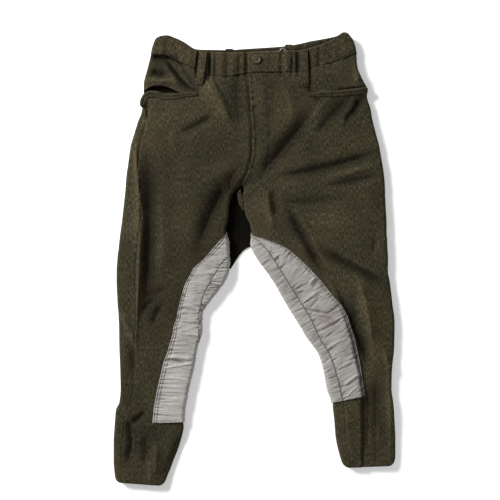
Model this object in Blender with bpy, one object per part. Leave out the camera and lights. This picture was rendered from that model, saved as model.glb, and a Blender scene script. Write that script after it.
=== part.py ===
"""Wool riding breeches with inner-leg patches, laid flat on a surface.

Millimetres in the tables, metres in the meshes. +Z is up from the surface, +Y runs from the hems to
the waist, and +X runs to the wearer's left. The garment lies on its back, so its fronts are on top.
"""

import math
from collections import namedtuple

import bmesh
import bpy
from mathutils import Vector
from mathutils.bvhtree import BVHTree
from mathutils.kdtree import KDTree

for old in list(bpy.data.objects):
    bpy.data.objects.remove(old, do_unlink=True)

# Driving sizes, millimetres
WOOL = 2.0
BAND = 3.0
PATCH = 1.2
GAP = 0.3
SEAM_REACH = 0.9
ROLL = 7.0
QUARTER = ROLL * math.pi / 2
WEB_RISE = 3.9
LOOP_RISE = 2.5
LOOP_WIDTH = 14.0
LOOP_WALL = 1.8
FLY_LAP = 9.0
FLY_DROP = 3.0
BAND_LAP = 36.0
BUTTON_RADIUS = 8.9
BUTTON_WALL = 3.2
EYELET_RADIUS = 7.0
BAND_ROWS = 3
BAND_DROP = 4.2
HEM_TURN = 22.0
HEM_EXTRA = 1.2

# Each leg's sections. out and inner are the outline; crown and edge are heights of the top side at
# the middle and beside the rolled edges. The rest are distances round the cloth: seam from the
# outer edge to the outseam; patch and inseam from the inner edge, over the top; under from the
# inner edge to the back patch's edge, along the underside.
Section = namedtuple("Section", "y out inner crown edge seam patch inseam under")

RIGHT_SECTIONS = [
    Section(452, -188, -30, 18, 16, 0, 34, -11, 40),
    Section(443, -199, -30, 18, 16, 0, 34, -11, 40),
    Section(431, -203, -30, 18, 16, 0, 34, -11, 40),
    Section(411, -208, -30, 19, 16, 0, 34, -11, 40),
    Section(375, -217, -30, 20, 16, 0, 32, -11, 40),
    Section(351, -222, -30, 22, 16, 2, 31, -11, 42),
    Section(327, -222, -30, 23, 15, 6, 30, -11, 42),
    Section(313, -226, -30, 23, 15, 9, 30, -11, 42),
    Section(303, -225, -30, 23, 14, 12, 29, -11, 44),
    Section(279, -233, -30, 24, 14, 20, 28, -11, 44),
    Section(231, -247, -28, 25, 14, 22, 27, -11, 46),
    Section(183, -255, -26, 25, 14, 26, 26, -11, 46),
    Section(159, -258, -28, 25, 14, 30, 25, -11, 48),
    Section(142, -259, -39, 25, 14, 32, 24, -11, 48),
    Section(121, -261, -49, 25, 14, 34, 22, -11, 50),
    Section(104, -263, -52, 24, 14, 38, 20, -11, 50),
    Section(85, -265, -53, 24, 14, 42, 17, -11, 50),
    Section(60, -268, -57, 23, 14, 42, 10, -11, 50),
    Section(33, -272, -52, 23, 14, 42, 24, -11, 52),
    Section(22, -273, -51.5, 23, 14, 42, 34, -11, 53),
    Section(10, -275, -51, 23, 14, 42, 44, -2, 54),
    Section(-5, -276, -50, 23, 14, 42, 60, 16, 56),
    Section(-20, -277, -51, 22, 14, 42, 75, 25, 58),
    Section(-45, -277, -61, 22, 14, 42, 78, 30, 58),
    Section(-69, -276, -79, 21, 13, 41, 68, 24, 54),
    Section(-93, -275, -97, 21, 13, 40, 56, 13, 48),
    Section(-112, -273, -105, 20, 13, 39, 52, 9, 46),
    Section(-141, -272, -105, 20, 13, 37, 60, 9, 48),
    Section(-177, -271, -115, 19, 13, 34, 59, 0, 48),
    Section(-213, -270, -121, 18, 13, 32, 65, -4, 50),
    Section(-261, -269, -133, 17, 12.5, 29, 64, -5, 50),
    Section(-289, -272, -138, 16, 12.5, 27, 64, -5, 50),
    Section(-300, -278, -140, 16, 12.5, 26, 64, -5, 50),
    Section(-333, -281, -141, 15, 12, 24, 66, -5, 50),
    Section(-369, -283, -149, 14, 12, 22, 60, -5, 46),
    Section(-405, -283, -163, 14, 12, 20, 52, -5, 42),
    Section(-430, -281, -173, 14, 12, 18, 48, -5, 40),
    Section(-455, -277, -183, 14, 12, 18, 44, -5, 38),
]

LEFT_SECTIONS = [
    Section(452, 192, -8, 18, 16, 0, 30, -11, 26),
    Section(443, 197, -8, 18, 16, 0, 30, -11, 26),
    Section(431, 201, -8, 18, 16, 0, 30, -11, 26),
    Section(411, 205, -8, 19, 16, 0, 30, -11, 26),
    Section(387, 207, -8, 20, 16, 2, 30, -11, 28),
    Section(363, 216, -8, 21, 16, 4, 30, -11, 28),
    Section(341, 226, -8, 22, 16, 6, 30, -11, 30),
    Section(327, 226, -8, 23, 15, 7, 30, -11, 30),
    Section(303, 233, -10, 23, 14, 8, 30, -11, 30),
    Section(279, 237, -12, 24, 14, 8, 29, -11, 32),
    Section(231, 249, -16, 25, 14, 8, 28, -11, 34),
    Section(183, 258, -22, 25, 14, 8, 27, -11, 36),
    Section(159, 261, -25, 25, 14, 8, 26, -11, 38),
    Section(142, 262, -27, 25, 14, 8, 25, -11, 40),
    Section(115, 263, -22, 25, 14, 8, 22, -11, 42),
    Section(91, 264, -18, 24, 14, 8, 16, -11, 44),
    Section(68, 265, -8, 24, 14, 8, 10, -11, 46),
    Section(51, 265, -7, 23, 14, 8, 12, 0, 48),
    Section(41, 266, -7, 23, 14, 8, 34, 12, 50),
    Section(29, 266, -7, 23, 14, 8, 62, 26, 52),
    Section(15, 267, -1, 23, 14, 8, 78, 33, 56),
    Section(-3, 268, 10, 22, 14, 8, 87, 34, 58),
    Section(-23, 268, 24, 22, 14, 8, 93, 33, 60),
    Section(-46, 272, 40, 22, 14, 8, 98, 31, 60),
    Section(-72, 275, 55, 21, 13, 8, 104, 32, 60),
    Section(-94, 277, 68, 21, 13, 8, 109, 33, 60),
    Section(-112, 280, 79, 20, 13, 8, 108, 33, 60),
    Section(-133, 281, 92, 20, 13, 8, 102, 31, 60),
    Section(-156, 281, 106, 20, 13, 8, 96, 27, 58),
    Section(-189, 279, 129, 19, 13, 8, 81, 24, 54),
    Section(-219, 276, 139, 18, 13, 8, 77, 25, 52),
    Section(-260, 275, 147, 17, 12.5, 8, 75, 28, 50),
    Section(-285, 278, 155, 16, 12.5, 8, 70, 25, 50),
    Section(-321, 281, 160, 15, 12.5, 8, 66, 24, 46),
    Section(-357, 283, 163, 14, 12, 8, 64, 23, 44),
    Section(-393, 283, 171, 14, 12, 8, 56, 22, 42),
    Section(-420, 278, 180, 14, 12, 8, 48, 20, 40),
]

# The rows of the cloth's mesh, each with its height on the page at the outer and the inner edge.
Row = namedtuple("Row", "y_out y_in")

RIGHT_ROWS = [
    Row(346, 346), Row(331, 331), Row(319, 320), Row(298, 300), Row(272, 272), Row(242, 242),
    Row(212, 212), Row(186, 186), Row(165, 165), Row(155, 155), Row(146, 146), Row(137, 137),
    Row(128, 128), Row(108, 108), Row(84, 84), Row(62, 62), Row(40, 40), Row(22, 22),
    Row(15, 15), Row(8, 8), Row(1, 1), Row(-6, -6), Row(-24, -24), Row(-46, -46),
    Row(-70, -70), Row(-94, -94), Row(-112, -112), Row(-142, -142), Row(-177, -177),
    Row(-213, -213), Row(-250, -250), Row(-286, -286), Row(-302, -312), Row(-328, -327),
    Row(-338, -337), Row(-370, -372), Row(-403, -408), Row(-424, -431), Row(-447, -454),
]

LEFT_ROWS = [
    Row(345, 334.5), Row(343.5, 333), Row(332, 326), Row(303, 303), Row(272, 272), Row(242, 242),
    Row(212, 212), Row(186, 186), Row(165, 165), Row(155, 155), Row(146, 146), Row(137, 137),
    Row(128, 128), Row(108, 108), Row(86, 86), Row(68, 68), Row(60, 60), Row(53, 53),
    Row(46, 46), Row(39, 39), Row(29, 29), Row(12, 12), Row(-10, -10), Row(-36, -36),
    Row(-62, -62), Row(-88, -88), Row(-112, -112), Row(-136, -136), Row(-162, -162),
    Row(-192, -192), Row(-224, -224), Row(-250, -264), Row(-262, -287), Row(-280, -298),
    Row(-318, -330), Row(-356, -362), Row(-390, -394), Row(-414, -418),
]

# The waist's lines across the garment: top edges and waistband seams of its front and its back.
Waist = namedtuple("Waist", "x front_top front_seam back_top back_seam")

WAIST = [
    Waist(-209, 424, 410, 424, 410),
    Waist(-203, 437, 410, 436, 408),
    Waist(-195, 446, 409, 445, 406),
    Waist(-176, 449, 407, 447, 402),
    Waist(-155, 442, 397, 441, 395),
    Waist(-141, 435, 391, 434, 388),
    Waist(-119, 421, 383, 422, 380),
    Waist(-95, 416, 371, 421, 378),
    Waist(-55, 414, 366, 420.5, 377),
    Waist(-14, 415, 373, 423, 378),
    Waist(20, 417, 375, 425, 380),
    Waist(60, 418, 375, 428, 383),
    Waist(91, 419, 375, 433, 387),
    Waist(112, 424, 383, 438, 390),
    Waist(135, 431, 389, 442, 396),
    Waist(160, 443, 395, 447, 402),
    Waist(180, 455, 403, 453, 406),
    Waist(192, 451, 408, 449, 409),
    Waist(200, 437, 411, 436, 410),
    Waist(206, 424, 411, 424, 411),
]

# The fly's lapped edge and the seat seam
Line = namedtuple("Line", "y x")

FLY_EDGE = [
    Line(440, -13.5), Line(381, -12), Line(335, -9), Line(289, -5.5), Line(259, -3),
    Line(217, -3), Line(193, -7), Line(169, -15.5), Line(152, -24.5), Line(120, -30),
]
SEAT_SEAM = [Line(440, 0), Line(165, -22), Line(128, -29.5), Line(0, -29.5)]
RIGHT_FORK = [Line(9, -29.8), Line(-5, -39), Line(-19, -48)]
LEFT_FORK = [Line(27, -8.5), Line(16, -24), Line(10, -28.6)]

# The largest folds. Each bends through three points; left and right are its widths as seen
# from its start, and height is above the cloth round it, so a negative one is a trough.
Fold = namedtuple("Fold", "x0 y0 x1 y1 x2 y2 left right height")

FOLDS = [
    Fold(-176, 402, -150, 376, -116, 338, 9, 13, -5.0),
    Fold(-99, 359, -68, 322, -45, 269, 9, 20, 4.0),
    Fold(-83, 289, -109, 268, -149, 252, 9, 9, -3.0),
    Fold(-29, 187, -84, 118, -112, 23, 14, 16, -4.5),
    Fold(-238, 243, -222, 88, -238, -175, 10, 10, 3.0),
    Fold(-214, 205, -204, 80, -219, -100, 16, 18, -4.5),
    Fold(-269, -105, -253, -131, -237, -173, 9, 9, 4.0),
    Fold(-186, -91, -197, -112, -206, -131, 8, 8, -2.5),
    Fold(-256, -315, -232, -367, -258, -410, 10, 10, -4.0),
    Fold(-195, -367, -197, -402, -199, -435, 10, 12, 3.0),
    Fold(216, 326, 196, 298, 178, 272, 9, 8, -5.0),
    Fold(206, 318, 187, 290, 172, 266, 8, 8, 2.5),
    Fold(128, 309, 70, 236, 10, 165, 14, 16, -5.0),
    Fold(245, 215, 150, 180, 48, 166, 12, 9, -4.0),
    Fold(33, 137, 41, 110, 43, 85, 9, 8, -3.0),
    Fold(68, 97, 100, 45, 137, -27, 12, 9, -4.5),
    Fold(268, -52, 205, -18, 137, 19, 11, 9, -4.5),
    Fold(207, -35, 229, -98, 236, -167, 15, 15, 5.0),
    Fold(165, -65, 201, -132, 226, -203, 12, 8, -5.0),
    Fold(243, -235, 246, -310, 244, -395, 17, 15, -3.0),
    Fold(204, 400, 206, 375, 207, 350, 8, 7, 3.0),
]

# The step beside the left leg's lengthwise overlap, down from the patch side
STEP = [Line(-95, 0), Line(-140, 3), Line(-190, 6), Line(-276, 7), Line(-330, 7), Line(-420, 4.5)]
STEP_FROM_PATCH = 8.5

# How much of the front belongs to one leg's own crown, from the seat down
SEAT_END = 190
LEGS_START = 110

# The rows where each patch starts and ends, and where each fork lets go of its leg
Reach = namedtuple("Reach", "front_patch back_patch patch_end fork")
REACH = {"right": Reach(62, -6, -328, 22), "left": Reach(53, 39, -287, 68)}


def smooth(edge0, edge1, value):
    t = (value - edge0) / (edge1 - edge0)
    t = min(1.0, max(0.0, t))
    return t * t * (3 - 2 * t)


def mix(a, b, t):
    return a + (b - a) * t


def curve(points):
    """A smooth function through (position, value) pairs that never swings past them."""
    pts = sorted(points)
    xs = [p[0] for p in pts]
    vs = [p[1] for p in pts]
    n = len(xs)
    rise = [(vs[i + 1] - vs[i]) / (xs[i + 1] - xs[i]) for i in range(n - 1)]
    slope = [rise[0]] + [0.0] * (n - 2) + [rise[-1]]
    for i in range(1, n - 1):
        if rise[i - 1] * rise[i] > 0:
            slope[i] = 2 * rise[i - 1] * rise[i] / (rise[i - 1] + rise[i])

    def at(x):
        if x <= xs[0]:
            return vs[0]
        if x >= xs[-1]:
            return vs[-1]
        i = 0
        while x > xs[i + 1]:
            i += 1
        h = xs[i + 1] - xs[i]
        t = (x - xs[i]) / h
        return (
            vs[i] * (1 + 2 * t) * (1 - t) ** 2
            + slope[i] * h * t * (1 - t) ** 2
            + vs[i + 1] * t * t * (3 - 2 * t)
            + slope[i + 1] * h * t * t * (t - 1)
        )

    return at


def column(table, name):
    key = table[0]._fields[0]
    return curve([(getattr(row, key), getattr(row, name)) for row in table])


def seat_seam(y):
    """The seat seam, straight between its corners."""
    for high, low in zip(SEAT_SEAM, SEAT_SEAM[1:]):
        if y >= low.y:
            return mix(high.x, low.x, min(1.0, (high.y - y) / (high.y - low.y)))
    return SEAT_SEAM[-1].x


fly_edge = column(FLY_EDGE, "x")
right_fork = column(RIGHT_FORK, "x")
left_fork = column(LEFT_FORK, "x")
step_height = column(STEP, "x")
front_top = column(WAIST, "front_top")
front_seam = column(WAIST, "front_seam")
back_top = column(WAIST, "back_top")
back_seam = column(WAIST, "back_seam")


class Leg:
    def __init__(self, name, sign, table, rows):
        self.name = name
        self.sign = sign
        self.rows = rows
        self.reach = REACH[name]
        self.out = column(table, "out")
        self.outline = column(table, "inner")
        self.crown = column(table, "crown")
        self.edge = column(table, "edge")
        self.seam = column(table, "seam")
        self.patch = column(table, "patch")
        self.inseam = column(table, "inseam")
        self.under = column(table, "under")

    def patched(self, y):
        """1 where patches lie on the leg, 0 beyond them."""
        start = self.reach.front_patch
        end = self.reach.patch_end
        return smooth(start + 12, start, y) * smooth(end - 12, end, y)

    def inner(self, y):
        return self.outline(y) + self.sign * (PATCH + GAP) * self.patched(y)

    def out_centre(self, y):
        return self.out(y) - self.sign * ROLL

    def in_centre(self, y):
        return self.inner(y) + self.sign * ROLL

    def way(self, y):
        """The distance over the top from the outer edge to the inner edge."""
        return 2 * QUARTER + abs(self.out_centre(y) - self.in_centre(y))


right = Leg("right", -1, RIGHT_SECTIONS, RIGHT_ROWS)
left = Leg("left", 1, LEFT_SECTIONS, LEFT_ROWS)


def bend(fold, t):
    x = mix(mix(fold.x0, fold.x1, t), mix(fold.x1, fold.x2, t), t)
    y = mix(mix(fold.y0, fold.y1, t), mix(fold.y1, fold.y2, t), t)
    return x, y


def fold_height(fold, x, y):
    """The height that one fold gives the cloth at a place."""
    steps = 8
    reach = 3 * max(fold.left, fold.right)
    low_x = min(fold.x0, fold.x1, fold.x2) - reach
    high_x = max(fold.x0, fold.x1, fold.x2) + reach
    low_y = min(fold.y0, fold.y1, fold.y2) - reach
    high_y = max(fold.y0, fold.y1, fold.y2) + reach
    if not (low_x < x < high_x and low_y < y < high_y):
        return 0.0
    best = None
    ax, ay = bend(fold, 0)
    for i in range(steps):
        bx, by = bend(fold, (i + 1) / steps)
        dx, dy = bx - ax, by - ay
        size = dx * dx + dy * dy
        t = min(1.0, max(0.0, ((x - ax) * dx + (y - ay) * dy) / size))
        px, py = ax + dx * t - x, ay + dy * t - y
        gap = math.hypot(px, py)
        side = dx * (y - ay) - dy * (x - ax)
        if best is None or gap < best[0]:
            best = (gap, side, (i + t) / steps)
        ax, ay = bx, by
    gap, side, t = best
    width = fold.left if side > 0 else fold.right
    fade = smooth(0, 0.25, t) * smooth(1, 0.75, t) * 0.75 + 0.25
    return fold.height * fade * math.exp(-((gap / width) ** 2))


def top(leg, x, y):
    """The height of the top side's outer face."""
    edge = mix(right.edge(y), left.edge(y), 0.5)
    wide = right.crown(y)
    a, b = right.out(y), left.out(y)
    u = min(1.0, max(0.0, (x - a) / (b - a)))
    whole = edge + (wide - edge) * (1 - abs(2 * u - 1) ** 3)
    a, b = leg.out(y), leg.inner(y)
    u = min(1.0, max(0.0, (x - a) / (b - a)))
    own = leg.edge(y) + (leg.crown(y) - leg.edge(y)) * (1 - abs(2 * u - 1) ** 2.6)
    z = mix(whole, own, smooth(SEAT_END, LEGS_START, y))
    for fold in FOLDS:
        z += fold_height(fold, x, y)
    if leg is left and y < -95:
        fold_x = leg.in_centre(y) + leg.patch(y) - QUARTER - STEP_FROM_PATCH
        over = x - fold_x
        if over > -2:
            z -= step_height(y) * smooth(-2, 2, over) * math.exp(-max(0.0, over) / 30)
    return max(z, 6.0)


def under(leg, x, y):
    """The height of the underside's outer face: flat, and raised over what lies beneath it."""
    z = LOOP_RISE * smooth(310, 345, y)
    start = leg.reach.back_patch
    end = leg.reach.patch_end
    if end - 12 < y < start + 12:
        q = QUARTER + abs(x - leg.in_centre(y))
        along = smooth(start + 12, start, y) * smooth(end - 12, end, y)
        z += (PATCH + GAP) * along * smooth(leg.under(y) + 9, leg.under(y), q)
    return z


def over_point(leg, g, y, rise=0.0):
    """A point of the outer face, g round the leg from its outer edge over the top."""
    way = leg.way(y)
    if g < QUARTER:
        turn = math.pi / 2 + g / ROLL
        x = leg.out_centre(y)
        if turn < 0:
            far = x + leg.sign * turn * ROLL
            return Vector((far, y, under(leg, far, y)))
        low = under(leg, x, y)
        high = top(leg, x, y)
        z = low + (high - low) / 2 * (1 - math.cos(turn))
        return Vector((x + leg.sign * ROLL * math.sin(turn), y, z))
    if g > way - QUARTER:
        turn = math.pi / 2 + (way - g) / ROLL
        x = leg.in_centre(y)
        low = max(rise, under(leg, x, y))
        if turn < 0:
            far = x - leg.sign * turn * ROLL
            return Vector((far, y, max(rise, under(leg, far, y))))
        high = top(leg, x, y)
        z = low + (high - low) / 2 * (1 - math.cos(turn))
        return Vector((x - leg.sign * ROLL * math.sin(turn), y, z))
    x = leg.out_centre(y) - leg.sign * (g - QUARTER)
    return Vector((x, y, top(leg, x, y)))


def spread(start, stop, count, way):
    """Places from start to stop, closer together where the cloth rolls over an edge."""

    def weight(g):
        total = 2.5 * max(-QUARTER, min(QUARTER, g)) + max(0.0, g - QUARTER)
        total += min(0.0, g + QUARTER)
        past = g - (way - QUARTER)
        total += 1.5 * max(0.0, min(2 * QUARTER, past))
        return total

    first, last = weight(start), weight(stop)
    places = []
    for i in range(count + 1):
        goal = mix(first, last, i / count)
        low, high = min(start, stop), max(start, stop)
        for _ in range(40):
            middle = (low + high) / 2
            if weight(middle) < goal:
                low = middle
            else:
                high = middle
        places.append((low + high) / 2)
    return places


FRONT_OUTER = 8
FRONT_INNER = 7
BACK_OUTER = 5
BACK_MIDDLE = 3
BACK_INNER = 6
FORK_COLUMNS = 3
FORK_LOW_ROWS = {"right": (14, 9, -5, -19), "left": (50, 38, 27, 18, 10)}
WAIST_ROWS = 3
MOUTH_COLUMNS = {"right": 4, "left": 5}
MOUTH_HEIGHT = 338
WELT_COLUMNS = 6
BAG_DEPTH = {"right": 7.0, "left": 0.0}


def front_end(leg, y):
    """Where the front stops above the fork: at the fly's edge, or under it."""
    return fly_edge(y) + (FLY_LAP if leg is right else 0.0)


def front_places(leg, y):
    """Every column's place at one height, as (g with the leg closed, x with the front flat)."""
    way = leg.way(y)
    last = way - leg.inseam(y) - (GAP / 2 if y < leg.reach.fork else 0.0)
    edge = way - leg.patch(y)
    span = last - edge
    closed = spread(leg.seam(y) + GAP / 2, edge, FRONT_OUTER, way)
    closed += [edge + min(6.5, span * 0.2), edge + min(10.5, span * 0.35)]
    closed += spread(closed[-1], last, FRONT_INNER - 2, way)[1:]
    end = front_end(leg, y)
    flat_way = QUARTER + abs(end - leg.out_centre(y))
    flat_edge = flat_way - span
    flat = spread(leg.seam(y) + GAP / 2, flat_edge, FRONT_OUTER, 9999)
    flat += [flat_edge + (g - edge) for g in closed[FRONT_OUTER + 1:]]
    return closed, flat


def fly_drop(leg, x, y, depth=FLY_DROP):
    """How far the right front sinks to pass under the left one."""
    if leg is left or y < 120:
        return 0.0
    edge = fly_edge(y)
    return depth * smooth(edge - 9, edge - 1, x) * smooth(120, 150, y)


def front_point(leg, i, y):
    closed, flat = front_places(leg, y)
    shut = smooth(166, 127, y) if leg is right else smooth(160, 126, y)
    fork = leg.reach.fork
    rise = WEB_RISE * smooth(fork - 24, fork, y)
    p = over_point(leg, closed[i], y, rise)
    if shut < 1:
        g = flat[i]
        q = over_point(leg, min(g, QUARTER), y)
        if g > QUARTER:
            x = leg.out_centre(y) - leg.sign * (g - QUARTER)
            q = Vector((x, y, top(leg, x, y) - fly_drop(leg, x, y)))
        p = q.lerp(p, shut)
    return p


def row_height(leg, row, x, inner_x):
    t = (x - leg.out(row.y_out)) / (inner_x - leg.out(row.y_out))
    return mix(row.y_out, row.y_in, min(1.0, max(0.0, t)))


def front_grid(leg):
    """The front's outer face: waist rows first, then the leg's rows down to the hem."""
    grid = []
    first = leg.rows[0]
    columns = FRONT_OUTER + FRONT_INNER + 1
    for k in range(WAIST_ROWS):
        line = []
        for i in range(columns):
            x = front_point(leg, i, 390).x
            seam = front_seam(x) - GAP / 2
            y = mix(seam, row_height(leg, first, x, front_end(leg, 340)), k / WAIST_ROWS)
            x = front_point(leg, i, y).x
            seam = front_seam(x) - GAP / 2
            y = mix(seam, row_height(leg, first, x, front_end(leg, 340)), k / WAIST_ROWS)
            line.append(front_point(leg, i, y))
        grid.append(line)
    for row in leg.rows:
        middle = (row.y_out + row.y_in) / 2
        line = []
        for i in range(columns):
            x = front_point(leg, i, middle).x
            stop = front_end(leg, middle) if middle > 150 else leg.inner(middle)
            line.append(front_point(leg, i, row_height(leg, row, x, stop)))
        grid.append(line)
    return grid


def back_places(leg, y):
    """Every back column's place, g running down from the outseam and under the leg."""
    way = leg.way(y)
    start = leg.seam(y) - GAP / 2
    floor = abs(leg.out_centre(y) - leg.in_centre(y))
    far = -QUARTER - max(4.0, floor - (leg.under(y) - QUARTER) - 9)
    places = spread(start, -QUARTER - 3, BACK_OUTER, way)
    for k in range(1, BACK_MIDDLE):
        places.append(mix(-QUARTER - 3, far, k / BACK_MIDDLE))
    places.append(far)
    near = way + leg.under(y)
    if y < leg.reach.fork:
        ease = smooth(leg.reach.back_patch, leg.reach.back_patch + 8, y)
        stop = way - leg.inseam(y) + GAP / 2 + ease
    else:
        stop = way + QUARTER
    inner = spread(stop, near, BACK_INNER, way)
    return places, inner[::-1]


def back_point(leg, i, y):
    places, inner = back_places(leg, y)
    if i < len(places):
        return over_point(leg, places[i], y)
    return over_point(leg, inner[i - len(places)], y)


def back_columns():
    return BACK_OUTER + BACK_MIDDLE + BACK_INNER + 2


def back_grid(leg):
    grid = []
    first = leg.rows[0]
    for k in range(WAIST_ROWS):
        line = []
        for i in range(back_columns()):
            x = back_point(leg, i, 390).x
            start = row_height(leg, first, x, 0)
            line.append(waist_point(leg, i, k, start))
        grid.append(line)
    for row in leg.rows:
        middle = (row.y_out + row.y_in) / 2
        line = []
        for i in range(back_columns()):
            x = back_point(leg, i, middle).x
            stop = seat_seam(middle) if middle > 150 else leg.inner(middle)
            line.append(back_point(leg, i, row_height(leg, row, x, stop)))
        grid.append(line)
    return grid


def waist_point(leg, i, k, start):
    x = back_point(leg, i, 390).x
    y = 390
    for _ in range(2):
        y = mix(waist_seam(leg, i, x) - GAP / 2, start, k / WAIST_ROWS)
        x = back_point(leg, i, y).x
    return back_point(leg, i, y)


def waist_seam(leg, i, x):
    """The back's waist seam, which meets the front's at the side."""
    return mix(front_seam(x), back_seam(x), min(1.0, i / 4))


def fork_grid(leg, grid):
    """The seat's cloth from under the leg to the seat seam, flat on the surface."""
    rows = []
    last = WAIST_ROWS
    for row in leg.rows:
        if row.y_in < leg.reach.fork:
            break
        last += 1
    for j in range(last):
        start = grid[j][-1]
        stop_x = seat_seam(start.y) + leg.sign * GAP
        line = []
        for k in range(1, FORK_COLUMNS + 1):
            x = mix(start.x, stop_x, k / FORK_COLUMNS)
            y = start.y
            if j < WAIST_ROWS:
                base = row_height(leg, leg.rows[0], x, 0)
                y = mix(back_seam(x) - GAP / 2, base, j / WAIST_ROWS)
            line.append(Vector((x, y, under(leg, x, y))))
        rows.append(line)
    return rows, last


class Sheet:
    """An open surface of quads whose faces look outward, and the walls made from it."""

    def __init__(self):
        self.points = []
        self.faces = []
        self.shared = None

    def add(self, p):
        self.points.append(Vector(p))
        return len(self.points) - 1

    def add_grid(self, grid, flip=False, skip=None):
        index = [[self.add(p) for p in line] for line in grid]
        self.join(index, flip, skip)
        return index

    def join(self, index, flip=False, skip=None):
        for j in range(len(index) - 1):
            for i in range(len(index[j]) - 1):
                if skip and skip(i, j):
                    continue
                quad = [index[j][i], index[j + 1][i], index[j + 1][i + 1], index[j][i + 1]]
                self.faces.append(quad[::-1] if flip else quad)

    def normals(self):
        if self.shared:
            return self.shared
        total = [Vector((0, 0, 0)) for _ in self.points]
        for quad in self.faces:
            p = [self.points[k] for k in quad]
            n = (p[2] - p[0]).cross(p[3] - p[1])
            for k in quad:
                total[k] += n
        return [n.normalized() if n.length > 0 else Vector((0, 0, 1)) for n in total]


def share_normals(sheets):
    """Where seams meet, both sides' walls face the same way."""
    own = [sheet.normals() for sheet in sheets]
    tree = KDTree(sum(len(sheet.points) for sheet in sheets))
    owner = []
    for n, sheet in enumerate(sheets):
        for k, p in enumerate(sheet.points):
            tree.insert(p, len(owner))
            owner.append((n, k))
    tree.balance()
    for n, sheet in enumerate(sheets):
        mean = []
        for k, p in enumerate(sheet.points):
            total = own[n][k].copy()
            for _, found, _ in tree.find_range(p, SEAM_REACH):
                other, place = owner[found]
                if other != n:
                    total += own[other][place]
            mean.append(total.normalized())
        sheet.shared = mean


def solid(name, sheet, start, wall, material, normals=None, extra=None):
    """A wall on a sheet, from start to start + wall along its normals; wall is minus inward."""
    normals = normals or sheet.normals()
    used = sorted({k for quad in sheet.faces for k in quad})
    place = {k: n for n, k in enumerate(used)}
    mesh = bmesh.new()
    near = []
    far = []
    for k in used:
        more = extra(sheet.points[k]) if extra else 0.0
        reach = wall + math.copysign(more, wall)
        begin = start(sheet.points[k]) if callable(start) else start
        near.append(mesh.verts.new((sheet.points[k] + normals[k] * begin) * 0.001))
        far.append(mesh.verts.new((sheet.points[k] + normals[k] * (begin + reach)) * 0.001))
    outer, inner = (near, far) if wall < 0 else (far, near)
    sides = {}
    for quad in sheet.faces:
        ring = [place[k] for k in quad]
        for corners in ((ring[0], ring[1], ring[2]), (ring[0], ring[2], ring[3])):
            mesh.faces.new([outer[k] for k in corners])
            mesh.faces.new([inner[k] for k in reversed(corners)])
        for a, b in zip(ring, ring[1:] + ring[:1]):
            sides[(a, b)] = sides.get((a, b), 0) + 1
    for (a, b) in sides:
        if (b, a) not in sides:
            mesh.faces.new([outer[b], outer[a], inner[a], inner[b]])
    return finish(name, mesh, material)


def finish(name, mesh, material, soft=True):
    mesh.normal_update()
    data = bpy.data.meshes.new(name)
    mesh.to_mesh(data)
    mesh.free()
    thing = bpy.data.objects.new(name, data)
    bpy.context.scene.collection.objects.link(thing)
    data.materials.append(material)
    if soft:
        data.shade_smooth()
        data.set_sharp_from_angle(angle=math.radians(50))
    return thing


def cloth(name, colour, rough, metal=0.0):
    made = bpy.data.materials.new(name)
    made.use_nodes = True
    shader = made.node_tree.nodes["Principled BSDF"]
    shader.inputs["Base Color"].default_value = (*colour, 1)
    shader.inputs["Roughness"].default_value = rough
    shader.inputs["Metallic"].default_value = metal
    return made


wool = cloth("olive wool", (0.045, 0.042, 0.026), 0.95)
wool_trim = cloth("olive wool trim", (0.050, 0.046, 0.029), 0.95)
patch_cloth = cloth("grey patch cloth", (0.38, 0.37, 0.34), 0.9)
horn = cloth("olive button", (0.10, 0.085, 0.05), 0.45)
metal = cloth("light metal", (0.6, 0.6, 0.58), 0.35, 1.0)


def cut(points, columns, rows):
    return [[points[j][i] for i in columns] for j in rows]


def hem_wall(leg):
    low = (leg.rows[-1].y_out + leg.rows[-1].y_in) / 2

    def extra(p):
        return HEM_EXTRA * smooth(low + HEM_TURN + 8, low + HEM_TURN - 8, p.y)

    return extra


Made = namedtuple("Made", "front front_index back back_index")


def front_sheet(leg):
    sheet = Sheet()
    slit = MOUTH_COLUMNS[leg.name]
    index = sheet.add_grid(front_grid(leg), leg is left, lambda i, j: j == WAIST_ROWS and i < slit)
    return sheet, index


def back_sheet(leg):
    """The back from the outseam to the inseam, and the seat's fork beyond it."""
    grid = back_grid(leg)
    sheet = Sheet()
    index = sheet.add_grid(grid, leg is right)
    fork_rows, last = fork_grid(leg, grid)
    joined = []
    for j in range(last):
        joined.append([index[j][-1]] + [sheet.add(p) for p in fork_rows[j]])
    edge = right_fork if leg is right else left_fork
    for y in FORK_LOW_ROWS[leg.name]:
        near = leg.outline(y) + leg.sign * 1.5
        far = seat_seam(y) + leg.sign * GAP
        if leg is left and y < 27:
            near = edge(y)
        if leg is right and y < 9:
            far = edge(y)
        line = [sheet.add((mix(near, far, t), y, 0.0)) for t in (0.0, 0.5, 1.0)]
        joined.append([None] + line)
    for j in range(len(joined) - 1):
        for i in range(FORK_COLUMNS):
            ring = [joined[j][i], joined[j + 1][i], joined[j + 1][i + 1], joined[j][i + 1]]
            if None not in ring:
                sheet.faces.append(ring[::-1] if leg is right else ring)
    return sheet, index


def band_height(leg, i, x, k, behind):
    """The height on the page of a waistband's row, at one of the columns of the panel below it."""
    share = min(1.0, i / 4) if behind else 0.0
    low = mix(front_seam(x), back_seam(x), share) + GAP / 2
    high = mix(front_top(x), back_top(x), share)
    return mix(low, high, k / BAND_ROWS)


def band_point(leg, i, k, behind):
    point = back_point if behind else front_point
    y = 400
    for _ in range(3):
        y = band_height(leg, i, point(leg, i, y).x, k, behind)
    p = point(leg, i, y)
    if not behind:
        p.z -= fly_drop(leg, p.x, y, BAND_DROP - FLY_DROP)
    return p


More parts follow.
